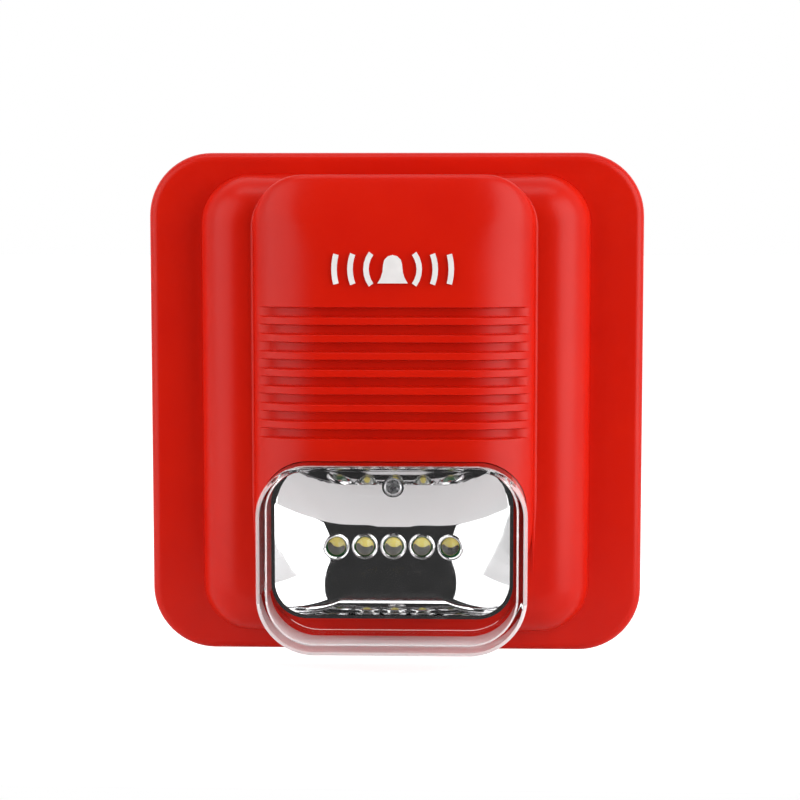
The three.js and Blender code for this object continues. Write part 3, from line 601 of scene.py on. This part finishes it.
def panel_solid():
    """The panel as a grid of heights over a flat back, with its rolled sides and its grooves."""
    rows, columns = panel_rows(), panel_columns()
    grid = []
    for y in rows:
        over = max(0.0, y - (PANEL_TOP - PANEL_CORNER), PANEL_LOW + PANEL_CORNER - y)
        half = PANEL_HALF_WIDTH - PANEL_CORNER + math.sqrt(max(0.0, PANEL_CORNER ** 2 - over ** 2))
        line = []
        for share in columns:
            x = half * share
            z, normal = panel_height(x, y)
            depth = groove_depth(x, y)
            line.append((x - normal[0] * depth, y - normal[1] * depth, z - normal[2] * depth))
        grid.append(line)
    back = [[(x, y, PANEL_BACK) for x, y, _ in line] for line in grid]
    height, width = len(rows), len(columns)
    points = [p for line in grid for p in line] + [p for line in back for p in line]

    def front_index(i, j):
        return i * width + j

    def back_index(i, j):
        return height * width + front_index(i, j)

    faces = []
    for i in range(height - 1):
        for j in range(width - 1):
            corners = [(i, j), (i, j + 1), (i + 1, j + 1), (i + 1, j)]
            faces.append(tuple(front_index(*corner) for corner in corners))
    rim = [(0, j) for j in range(width)]
    rim += [(i, width - 1) for i in range(1, height)]
    rim += [(height - 1, j) for j in range(width - 2, -1, -1)]
    rim += [(i, 0) for i in range(height - 2, 0, -1)]
    for a, b in zip(rim, rim[1:] + rim[:1]):
        faces.append((front_index(*b), front_index(*a), back_index(*a), back_index(*b)))
    faces.append(tuple(back_index(*p) for p in rim))
    return new_object("panel", points, faces)


def crease_round(side):
    """The small hollow round between a side of the panel and the step behind it, thin at both ends."""
    middle_x, middle_y = PANEL_HALF_WIDTH - PANEL_CORNER, PANEL_TOP - PANEL_CORNER
    places = [(0.0, PANEL_LOW + PANEL_CORNER, 0.03 * CREASE_RADIUS), (0.0, LIP_FULL, CREASE_RADIUS)]
    for k in range(CREASE_STEPS + 1):
        turn = k / CREASE_STEPS
        places.append((math.radians(CREASE_TURN * turn), middle_y, CREASE_RADIUS * (1 - 0.97 * turn)))
    rings = []
    for angle, y, radius in places:
        away_x, away_y = math.cos(angle), math.sin(angle)
        section = [(-0.5, -0.5), (radius, -0.5)]
        for k in range(9):
            arc = math.radians(270 - 90 * k / 8)
            section.append((radius + radius * math.cos(arc), radius + radius * math.sin(arc) - 0.01))
        section.append((-0.5, radius - 0.01))
        points = []
        for out, rise in section:
            reach = PANEL_CORNER + out
            points.append((side * (middle_x + reach * away_x), y + reach * away_y, TIER_FRONT + rise))
        rings.append(points)
    return loft("crease_round", rings)


def lens_outline(grow, thinner_top=0.0):
    """The window's outline moved outwards, with its top side moved up a little more."""
    return outline(
        LENS.x0 - grow, LENS.x1 + grow, LENS.y0 - grow, LENS.y1 + grow + thinner_top,
        LENS_LOW_CORNER + grow, LENS_TOP_CORNER + grow,
    )


def step_skins(inset):
    """The plate and the second step of the cover, shrunk by an inset for the inner skin."""
    steps = 14 if inset == 0 else 6
    plate = rolled_slab(
        "plate", COVER.x0 + inset, COVER.x1 - inset, COVER.y0 + inset, COVER.y1 - inset,
        PLATE_CORNER - inset, COVER.z0 - inset, PLATE_FRONT - inset, max(PLATE_EDGE - inset, 0.5),
        steps // 2 + 1,
    )
    tier = rolled_slab(
        "tier", inset - TIER_HALF_WIDTH, TIER_HALF_WIDTH - inset, inset - TIER_HALF_HEIGHT,
        TIER_HALF_HEIGHT - inset, TIER_CORNER - inset / 2, COVER.z0 + 1 - 2 * inset, TIER_FRONT - inset,
        TIER_ROLL - inset, steps,
    )
    return plate, tier


def pocket_tool():
    return prism("pocket", lens_outline(LENS_GAP), SEAT_FRONT, PANEL_FRONT + 1)


def sound_slots():
    """Slanted slots from the grooves' ceilings into the hollow of the panel."""
    tools = []
    for i in range(GROOVES):
        top = GROOVE_TOP - i * GROOVE_PITCH
        slot = block("slot", -22, 22, -0.45, 0.45, -3.2, 3.2)
        slot.data.transform(Matrix.Rotation(math.radians(45), 4, "X"))
        slot.data.transform(Matrix.Translation(place([(0, top + 1.1, PANEL_FRONT - 2)])[0]))
        tools.append(slot)
    return tools


def cover_posts():
    """Pegs for the wall base, bosses for the board's and the bowl's screws, and the lock screw's boss."""
    plate_inside = PLATE_FRONT - WALL + 0.5
    tier_inside = TIER_FRONT - WALL + 0.5
    posts = [rod("peg", PEG_RADIUS, 4, plate_inside, x, y) for x, y in PEG_PLACES]
    posts += [rod("boss", BOSS_RADIUS, BOARD.z1 + GAP, tier_inside, x, y) for x, y in BOARD_PILLARS]
    posts.append(rod("bowl_boss", 3, SEAT_FRONT - 0.5, BOWL_SCREW.z0 + 5.2, 0, BOWL_SCREW_Y))
    posts.append(block("lock_boss", -6, 6, COVER.y0 + 1, COVER.y0 + 5.8, 3.5, plate_inside))
    return posts


def post_holes():
    """Blind bores for the board's screws and the bowl's screw."""
    low, high = BOARD.z1 - 1, BOARD.z1 + 4.7
    holes = [rod("bore", BOSS_BORE_RADIUS, low, high, x, y) for x, y in BOARD_PILLARS]
    low, high = BOWL_SCREW.z0 - 1, BOWL_SCREW.z0 + 7
    holes.append(rod("bore", BOWL_BORE_RADIUS, low, high, 0, BOWL_SCREW_Y))
    return holes


def upright_rod(name, radius, y0, y1, z):
    made = rod(name, radius, y0, y1)
    made.data.transform(Matrix.Rotation(math.radians(-90), 4, "X"))
    made.data.transform(Matrix.Translation((0, -z * MM, 0)))
    return made


def lock_holes():
    """The lock screw's hole and its sunk head in the bottom edge."""
    z = (LOCK_SCREW.z0 + LOCK_SCREW.z1) / 2
    return [
        upright_rod("shank_hole", 1.8, COVER.y0 - 1, COVER.y0 + 12, z),
        upright_rod("head_hole", 2.9, COVER.y0 - 2, COVER.y0 + 2.0, z),
    ]


def front_cover():
    plate, tier = step_skins(0)
    outer = cut(join(plate, tier, panel_solid(), crease_round(-1), crease_round(1)), pocket_tool())
    outer.name = "front_cover_fine"
    join(outer, prism("seat", lens_outline(0), 10, SEAT_FRONT))
    plate_hollow, tier_hollow = step_skins(WALL)
    half = PANEL_HALF_WIDTH - PANEL_WALL
    panel_hollow = rolled_slab(
        "panel_hollow", -half, half, PANEL_LOW_INSIDE, PANEL_TOP - PANEL_WALL,
        PANEL_CORNER - 1.1, 10, PANEL_FRONT - PANEL_WALL, PANEL_ROLL - PANEL_WALL, 6,
        PANEL_ROLL_WIDTH - PANEL_WALL,
    )
    hollow = join(plate_hollow, tier_hollow, panel_hollow)
    cut(hollow, prism("pocket_wall", lens_outline(GAP + WALL), SEAT_FRONT - WALL, PANEL_FRONT + 10))
    wire_hole = rod("wire_hole", 5, SEAT_FRONT - WALL - 1, SEAT_FRONT + 1, 0, WIRE_HOLE_Y)
    cut(outer, hollow, *sound_slots(), wire_hole)
    join(outer, *cover_posts())
    cut(outer, *post_holes(), *lock_holes())
    smooth(outer)
    return finish_piece(outer, "front_unit", "red_abs", MATERIALS["red_abs"], "front_cover")


# ---------- Strobe window ----------

def window_rings(inset, z_front, roll, steps, thinner_top=0.0):
    """Rings up the straight side of the window and round its rolled front edge."""
    rings = []
    for k in range(steps + 1):
        angle = math.radians(90 * k / steps)
        edge = lens_outline(-inset - roll * (1 - math.cos(angle)), thinner_top)
        rings.append(ring(edge, z_front - roll + roll * math.sin(angle)))
    return rings


def window_part(polygon):
    """Which of the window's materials a face has: 0 clear, 1 front, 2 side walls, 3 bottom wall."""
    depth, height = -polygon.center.y / MM, polygon.center.z / MM
    slope = abs(polygon.normal.z)
    if abs(polygon.normal.y) > 0.98:
        return 1
    if height > LENS.y1 - 5 and slope > 0.3:
        return 0
    if height < LENS.y0 + LENS_LOW_CORNER and slope > 0.05:
        return 0 if depth < LENS_CLEAR_BACK else 3
    return 2


def strobe_lens():
    """The clear window: a hollow cup, open at the back, with a thin top wall."""
    back = SEAT_FRONT + GAP
    inner = window_rings(LENS_WALL, LENS.z1 - LENS_WALL, LENS_INNER_ROLL, 6, LENS_THIN_TOP)
    outer = window_rings(0, LENS.z1, LENS_ROLL, 12)
    rings = [
        *reversed(inner),
        ring(lens_outline(-LENS_WALL, LENS_THIN_TOP), LENS_CLEAR_BACK),
        ring(lens_outline(-LENS_WALL, LENS_THIN_TOP), back + 0.2),
        ring(lens_outline(0.2 - LENS_WALL, LENS_THIN_TOP), back),
        ring(lens_outline(-0.2), back),
        ring(lens_outline(0), back + 0.2),
        ring(lens_outline(0), LENS_CLEAR_BACK),
        *outer,
    ]
    lens = smooth(loft("strobe_window", rings), 40)
    finish_piece(lens, "front_unit", "clear_plastic", MATERIALS["clear_plastic"], "strobe_lens")
    for part in ("front", "side", "bottom"):
        lens.data.materials.append(MATERIALS[f"window_{part}"])
    for polygon in lens.data.polygons:
        polygon.material_index = window_part(polygon)
    return lens


# ---------- Reflector ----------

BOWL_WALL = 1.0
BOWL_BACK = 32.3
BOWL_MOUTH = BOWL.z1
BOWL_RISE = 22.5
MIDDLE_HALF_WIDTH = 6.0
MIDDLE_LOW = -41.0
MIDDLE_HIGH = -36.0
SHELF_MOUTH_Y = -15.8
SHELF_FALL = 0.87
BOWL_RIM = 0.5
BOARD_POST_Y = -32
SEAT_POST_Y = -52
SCREW_HEAD = 1.7
SCREW_SEAT = BOWL_SCREW.z1 - SCREW_HEAD


def bowl_ring(share, grow):
    """One ring of the bowl: a shallow parabola above and beside its flat middle, an ellipse below."""
    half = MIDDLE_HALF_WIDTH + (BOWL.x1 - BOWL_WALL - MIDDLE_HALF_WIDTH) * share
    low = MIDDLE_LOW + (BOWL.y0 + BOWL_WALL - MIDDLE_LOW) * share * math.sqrt(2 - share * share)
    high = MIDDLE_HIGH + BOWL_RISE * share
    rounding = 2 * share - share ** 2
    low_radius = 2.4 + 7 * rounding + grow / 2
    high_radius = 2.4 + 10 * rounding + grow / 2
    points = outline(-half - grow, half + grow, low - grow, high + grow, low_radius, high_radius)
    return ring(points, BOWL_BACK - grow + (BOWL_MOUTH - BOWL_BACK + grow) * share ** 2)


def above_shelf(grow):
    """All that lies above the slanted shelf that closes the bowl's top."""
    back, above = SEAT_FRONT - 5, 20
    mouth_y = SHELF_MOUTH_Y + grow
    back_y = mouth_y - SHELF_FALL * (BOWL_MOUTH - back)
    side = [(mouth_y, BOWL_MOUTH), (back_y, back), (above, back), (above, LENS.z1), (mouth_y, LENS.z1)]
    return loft("above_shelf", [[(x, y, z) for y, z in side] for x in (-50, 50)])


def bowl_skin(name, grow, rim):
    """The bowl's space from its floor to its mouth, grown by its wall, trimmed to the window and shelf."""
    steps = 48
    rings = [bowl_ring(k / steps, grow) for k in range(steps + 1)]
    if grow == 0:
        rings.append([(x, y, z + 1) for x, y, z in rings[-1]])
    skin = loft(name, rings)
    inside_lens = lens_outline(-LENS_WALL - GAP - rim, LENS_THIN_TOP)
    combine(skin, prism("trim", inside_lens, SEAT_FRONT, LENS.z1), "INTERSECT")
    return cut(skin, above_shelf(grow))


def led_place(i):
    box = front_box(f"strobe_led_{i + 1}")
    return (box.x0 + box.x1) / 2, (box.y0 + box.y1) / 2


def bowl_height(x):
    """How far out the bowl's floor lies, level with the LEDs."""
    share = max(0.0, (abs(x) - MIDDLE_HALF_WIDTH) / (BOWL.x1 - BOWL_WALL - MIDDLE_HALF_WIDTH))
    return BOWL_BACK + (BOWL_MOUTH - BOWL_BACK) * share ** 2


def led_lip(x, y):
    """A rounded collar about an LED's hole that follows the bowl's floor."""
    section = [
        (2.6, -0.6), (2.6, 0.2), (2.95, 0.42), (3.2, 0.5),
        (3.4, 0.42), (3.6, 0.2), (3.75, -0.15), (3.8, -0.6),
    ]
    angles = [2 * math.pi * k / 48 for k in range(48)]
    rings = []
    for radius, lift in section:
        places = [(x + radius * math.cos(a), y + radius * math.sin(a)) for a in angles]
        rings.append([(px, py, bowl_height(px) + lift) for px, py in places])
    return loft("led_lip", rings)


def reflector():
    bowl = bowl_skin("reflector_bowl", BOWL_WALL, 0)
    join(bowl, rod("screw_boss", 4.15, BOWL_BACK - BOWL_WALL, BOWL_MOUTH - 3, 0, BOWL_SCREW_Y, 48))
    for x in (-20, 20):
        join(bowl, rod("board_post", 2.6, LED_BOARD.z1 + GAP, BOWL_BACK + 1.5, x, BOARD_POST_Y))
        join(bowl, rod("seat_post", 2, SEAT_FRONT + GAP, BOWL_BACK + 3, x, SEAT_POST_Y))
    cut(bowl, bowl_skin("inside", 0, BOWL_RIM))
    for i in range(LEDS):
        x, y = led_place(i)
        join(bowl, led_lip(x, y))
        cut(bowl, rod("led_hole", 2.9, BOWL_BACK - 7, BOWL_BACK + 5, x, y, 48))
    cut(bowl, rod("screw_hole", 1.8, BOWL_BACK - 4, SCREW_SEAT + 1, 0, BOWL_SCREW_Y))
    cut(bowl, rod("head_hole", 3.05, SCREW_SEAT, BOWL_MOUTH + 1, 0, BOWL_SCREW_Y, 48))
    smooth(bowl, 35)
    return finish_piece(bowl, "front_unit", "chrome_film", MATERIALS["chrome_film"], "reflector")


# ---------- Screws ----------

THREAD_PITCH = 0.8
THREAD_CORE = 0.8


def pan_head_screw(name, head_radius, head_height, shank, length, slot=0.2):
    """A pan-head cross screw along z, its head seated on z = 0."""
    profile = [(0, -length), (shank * 0.5, -length), (shank, shank - length)]
    core = shank * THREAD_CORE
    turns = int((length - shank - 0.6) / THREAD_PITCH)
    for k in range(turns):
        z = shank - length + THREAD_PITCH * k
        profile += [(core, z + 0.1), (shank, z + 0.35), (shank, z + 0.45), (core, z + 0.7)]
    profile += [(core, 0), (head_radius - 0.1, 0), (head_radius, 0.12)]
    for k in range(9):
        angle = math.radians(90 * k / 9)
        out = head_radius * (0.62 + 0.38 * math.cos(angle))
        profile.append((out, head_height * (0.45 + 0.55 * math.sin(angle))))
    profile += [(head_radius * 0.6, head_height), (0, head_height)]
    screw = lathe(name, profile, 0, 0, 40)
    reach, half = head_radius * 0.62, head_radius * slot
    for x, y in ((reach, half), (half, reach)):
        wide = [(x, -y), (x, y), (-x, y), (-x, -y)]
        narrow = [(px * 0.6, py * 0.6) for px, py in wide]
        floor, top = head_height * 0.2, head_height
        cut(screw, loft("recess", [ring(narrow, floor), ring(wide, top), ring(wide, top + 1)]))
    return smooth(screw, 35)


def bowl_screw():
    radius = (BOWL_SCREW.x1 - BOWL_SCREW.x0) / 2
    screw = pan_head_screw("bowl_screw", radius, SCREW_HEAD, 1.5, SCREW_SEAT - BOWL_SCREW.z0)
    screw.data.transform(Matrix.Rotation(math.radians(28), 4, "Y"))
    screw.data.transform(Matrix.Translation((0, -SCREW_SEAT * MM, BOWL_SCREW_Y * MM)))
    return finish_piece(screw, "front_unit", "steel", MATERIALS["steel"], "reflector_screw")


def small_screw(name, node, body, size, turn):
    """A fine screw in a CAD screw's place, turned about the world's X axis from facing the front."""
    head_radius, head_height, shank = size
    low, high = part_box(node)
    length = max(high - low) / MM - head_height
    screw = pan_head_screw(name, head_radius, head_height, shank, length)
    screw.data.transform(Matrix.Translation((0, (head_height - length) / 2 * MM, 0)))
    screw.data.transform(Matrix.Rotation(math.radians(turn), 4, "X"))
    screw.data.transform(Matrix.Translation((low + high) / 2))
    return finish_piece(screw, body, "steel", MATERIALS["steel"], node)


def hidden_screws():
    """The screws behind the cover; sizes are (head radius, head height, shank radius)."""
    for i in range(1, 5):
        small_screw(f"board_screw_fine_{i}", f"board_screw_{i}", "front_unit", (2.6, 1.6, 1.3), 180)
    for side in ("left", "right"):
        node = f"led_board_screw_{side}"
        small_screw(f"led_board_screw_fine_{side}", node, "front_unit", (2.1, 1.2, 1.0), 180)
    small_screw("lock_screw_fine", "cover_lock_screw", "lock_screw", (2.6, 1.6, 1.5), 90)


# ---------- Wall base ----------

BASE_FLOOR = 2.5
BASE_RIM = 7.5
BASE_RIM_WALL = 2.0
BASE_CORNER = 15.2
CABLE_Y = 22.0
CABLE_RADIUS = 12
COLLAR_RADIUS = 14
TAB_HALF_WIDTH = 6
TAB_LOW = -63.4
TAB_HIGH = -61.4
SLOT_RADIUS = 2.3
SLOT_RUN = 4
SLOT_PLACES = [(-30.15, 0, False), (30.15, 0, False), (0, -42, True), (0, 42, True)]


def stadium(radius, run, x, y, upright):
    """The outline of a slot with round ends about (x, y)."""
    points = []
    for k in range(33):
        angle = math.radians(-90 + 180 * k / 32)
        points.append((run / 2 + radius * math.cos(angle), radius * math.sin(angle)))
    points += [(-px, -py) for px, py in points]
    if upright:
        points = [(-py, px) for px, py in points]
    return [(px + x, py + y) for px, py in points]


def wall_base():
    """The shallow base tray with peg sockets, screw slots, cable hole and the lock screw's tab."""
    rim, wall, tab_top = BASE_RIM, BASE_RIM_WALL, BASE.z1
    low, high, half = BASE.y0, BASE.y1, BASE.x1
    base = prism("wall_base_fine", outline(-half, half, low, high, BASE_CORNER), 0, rim)
    hollow = outline(wall - half, half - wall, low + wall, high - wall, BASE_CORNER - wall)
    cut(base, prism("hollow", hollow, BASE_FLOOR, rim + 1))
    for x, y in PEG_PLACES:
        join(base, rod("socket", PEG_SOCKET_RADIUS, BASE_FLOOR - 0.5, rim, x, y, 48))
    for x, y, upright in SLOT_PLACES:
        pad = stadium(SLOT_RADIUS + 3, SLOT_RUN, x, y, upright)
        join(base, prism("pad", pad, BASE_FLOOR - 0.5, BASE_FLOOR + 1.2))
    join(base, rod("collar", COLLAR_RADIUS, BASE_FLOOR - 0.5, BASE_FLOOR + 2, 0, CABLE_Y, 96))
    tab = block("lock_tab", -TAB_HALF_WIDTH, TAB_HALF_WIDTH, TAB_LOW, TAB_HIGH, BASE_FLOOR - 0.5, tab_top)
    join(base, tab)
    for x, y in PEG_PLACES:
        cut(base, rod("bore", PEG_RADIUS + GAP, BASE_FLOOR, rim + 1, x, y))
    for x, y, upright in SLOT_PLACES:
        slot = stadium(SLOT_RADIUS, SLOT_RUN, x, y, upright)
        cut(base, prism("slot", slot, -1, BASE_FLOOR + 3))
    cut(base, rod("cable_hole", CABLE_RADIUS, -1, BASE_FLOOR + 3, 0, CABLE_Y, 96))
    cut(base, block("tab_slot", -1.8, 1.8, TAB_LOW - 1, TAB_HIGH + 1, 5.4, tab_top + 1))
    cut(base, block("rim_gap", -6.6, 6.6, low - 1, low + wall + 0.4, BASE_FLOOR + 0.4, rim + 1))
    soften(base, 0.25, 3)
    return finish_piece(base, "wall_side", "red_abs", MATERIALS["red_abs"], "wall_base")


# ---------- LEDs ----------

LED_RADIUS = 2.5
LED_FLANGE = 2.9
LED_FLANGE_HEIGHT = 1.0
LED_CUP_RISE = 4.2
LED_POST_WIDTH = 0.5


def led_profile(z0, radius, flange, length):
    """Half the outline of a round lamp, from its flange to the top of its dome."""
    step = z0 + LED_FLANGE_HEIGHT
    profile = [(0, z0), (flange, z0), (flange, step - 0.1), (flange - 0.1, step), (radius, step)]
    straight = z0 + length - radius
    for k in range(13):
        angle = math.radians(90 * k / 12)
        profile.append((radius * math.cos(angle), straight + radius * math.sin(angle)))
    return profile


def strobe_led(i):
    """One LED: its clear dome, the steel cup with its phosphor dot, and the two posts of its leads."""
    node = f"strobe_led_{i + 1}"
    box = front_box(node)
    x, y = led_place(i)
    profile = led_profile(box.z0, LED_RADIUS, LED_FLANGE, box.z1 - box.z0)
    dome = smooth(lathe(f"led_dome_{i + 1}", profile, x, y), 40)
    finish_piece(dome, "front_unit", "led_resin", MATERIALS["led_resin"], node)
    cup_z = box.z0 + LED_CUP_RISE
    foot_z, floor_z = cup_z - 1.6, cup_z - 0.7
    cup = [(0, foot_z), (1.3, foot_z), (1.7, cup_z), (1.5, cup_z), (0.95, floor_z), (0, floor_z)]
    anvil = smooth(lathe(f"led_cup_{i + 1}", cup, x, y, 24), 40)
    finish_piece(anvil, "front_unit", "steel", MATERIALS["steel"])
    low_z = cup_z - 0.69
    dot = [(0, low_z), (0.5, low_z), (0.7, cup_z - 0.35), (0.5, cup_z - 0.05), (0, cup_z + 0.1)]
    chip = smooth(lathe(f"led_phosphor_{i + 1}", dot, x, y + 0.25, 24), 60)
    finish_piece(chip, "front_unit", "led_resin", MATERIALS["phosphor"])
    half = LED_POST_WIDTH / 2
    for letter, post_x, top in (("a", x - 0.9, foot_z), ("b", x + 0.9, cup_z - 0.6)):
        name = f"led_post_{i + 1}_{letter}"
        post = block(name, post_x - half, post_x + half, y - half, y + half, box.z0 + 0.2, top)
        finish_piece(soften(post, 0.05), "front_unit", "steel", MATERIALS["steel"])


# ---------- CAD nodes that stay, with finished materials ----------

def dress_cad_nodes():
    """Gives every CAD node that is still shown its finished material and a small rounding of its edges."""
    slots = {part["node"]: part["material_slot"] for part in frame["record"]["subparts"]}
    for node, obj in frame["nodes"].items():
        if obj.hide_render:
            continue
        obj.data.materials.clear()
        obj.data.materials.append(MATERIALS[slots[node]])
        soften(obj, 0.12, 2)


# ---------- Stage, light and camera ----------

FLOOR_FRONT = -0.139
FLOOR_BACK = 5.0
FLOOR_SIDE = 4.0


def stage():
    """A pale floor in metres, low enough for the lock screw to come down."""
    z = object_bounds()[0].z - (LOCK_TRAVEL + 1) * MM
    corners = [
        (-FLOOR_SIDE, FLOOR_FRONT), (FLOOR_SIDE, FLOOR_FRONT),
        (FLOOR_SIDE, FLOOR_BACK), (-FLOOR_SIDE, FLOOR_BACK),
    ]
    mesh = bpy.data.meshes.new("floor")
    mesh.from_pydata([(x, y, z) for x, y in corners], [], [(0, 1, 2, 3)])
    floor = bpy.data.objects.new("floor", mesh)
    bpy.context.scene.collection.objects.link(floor)
    pale = new_material("pale_floor", (0.8, 0.8, 0.8), 0.9)
    vary_roughness(pale, 20, 0.85, 0.95)
    shader_of(pale).inputs["Emission Color"].default_value = (0.75, 0.75, 0.75, 1)
    pale.node_tree.links.new(seen_straight(pale.node_tree), shader_of(pale).inputs["Emission Strength"])
    floor.data.materials.append(pale)
    floor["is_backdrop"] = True


def seen_straight(tree):
    """A socket that is 1 where a thing is seen directly or through clear plastic, and 0 elsewhere.

    Reflections of it, and the light that other things get from it, count as elsewhere.
    """
    path = tree.nodes.new("ShaderNodeLightPath")
    bounces = tree.nodes.new("ShaderNodeMath")
    bounces.operation = "ADD"
    tree.links.new(path.outputs["Glossy Depth"], bounces.inputs[0])
    tree.links.new(path.outputs["Diffuse Depth"], bounces.inputs[1])
    none = tree.nodes.new("ShaderNodeMath")
    none.operation = "LESS_THAN"
    none.inputs[1].default_value = 0.5
    tree.links.new(bounces.outputs["Value"], none.inputs[0])
    return none.outputs["Value"]


def softbox(name, location, width, height, power, mirrored=True):
    """A rectangular light aimed at the object; sizes are in metres and power is in watts."""
    light = bpy.data.lights.new(name, "AREA")
    light.shape = "RECTANGLE"
    light.size = width
    light.size_y = height
    light.energy = power
    obj = bpy.data.objects.new(name, light)
    obj.location = location
    obj.rotation_mode = "QUATERNION"
    obj.rotation_quaternion = (-Vector(location)).to_track_quat("-Z", "Y")
    obj.visible_glossy = mirrored
    bpy.context.scene.collection.objects.link(obj)


def studio():
    """Softboxes left, right and above, side fills that nothing mirrors, and a room dark at the front."""
    softbox("softbox_left", (-0.85, -0.62, 0.25), width=0.92, height=1.5, power=7.4)
    softbox("softbox_right", (0.85, -0.62, 0.25), width=0.92, height=1.5, power=12.4)
    softbox("fill_left", (-1.0, -0.16, 0.1), width=0.3, height=1.2, power=3.6, mirrored=False)
    softbox("fill_right", (1.0, -0.16, 0.1), width=0.3, height=1.2, power=3.0, mirrored=False)
    softbox("softbox_top", (0.0, -0.20, 0.95), width=0.9, height=0.22, power=2.2)
    world = bpy.data.worlds.new("room")
    bpy.context.scene.world = world
    world.use_nodes = True
    nodes, links = world.node_tree.nodes, world.node_tree.links
    room = nodes["Background"]
    room.inputs["Color"].default_value = (1, 1, 1, 1)
    seen = nodes.new("ShaderNodeBackground")
    seen.inputs["Color"].default_value = (1, 1, 1, 1)
    coords = nodes.new("ShaderNodeTexCoord")
    split = nodes.new("ShaderNodeSeparateXYZ")
    links.new(coords.outputs["Generated"], split.inputs["Vector"])
    fade = nodes.new("ShaderNodeMapRange")
    fade.inputs["From Min"].default_value = 0.0
    fade.inputs["From Max"].default_value = 0.6
    fade.inputs["To Min"].default_value = 0.035
    fade.inputs["To Max"].default_value = 1.0
    links.new(split.outputs["Y"], fade.inputs["Value"])
    links.new(fade.outputs["Result"], room.inputs["Strength"])
    mix = nodes.new("ShaderNodeMixShader")
    links.new(seen_straight(world.node_tree), mix.inputs["Fac"])
    links.new(room.outputs["Background"], mix.inputs[1])
    links.new(seen.outputs["Background"], mix.inputs[2])
    links.new(mix.outputs["Shader"], nodes["World Output"].inputs["Surface"])


def camera():
    """A long lens a little above the object and to its right, at an arm's length; lens in millimetres."""
    azimuth, elevation, distance = math.radians(2.0), math.radians(5.3), 0.62
    data = bpy.data.cameras.new("camera")
    data.sensor_width = 36
    data.lens = 94.545
    obj = bpy.data.objects.new("camera", data)
    bpy.context.scene.collection.objects.link(obj)
    aim = Vector((0.0007, 0, -0.0002))
    away = Vector((
        math.sin(azimuth) * math.cos(elevation),
        -math.cos(azimuth) * math.cos(elevation),
        math.sin(elevation),
    ))
    obj.location = aim + away * distance
    obj.rotation_mode = "QUATERNION"
    obj.rotation_quaternion = (-away).to_track_quat("-Z", "Y")
    bpy.context.scene.camera = obj


front_cover()
strobe_lens()
reflector()
bowl_screw()
hidden_screws()
wall_base()
for led in range(LEDS):
    strobe_led(led)
dress_cad_nodes()
stage()
studio()
camera()
bpy.context.scene.view_settings.view_transform = "Standard"
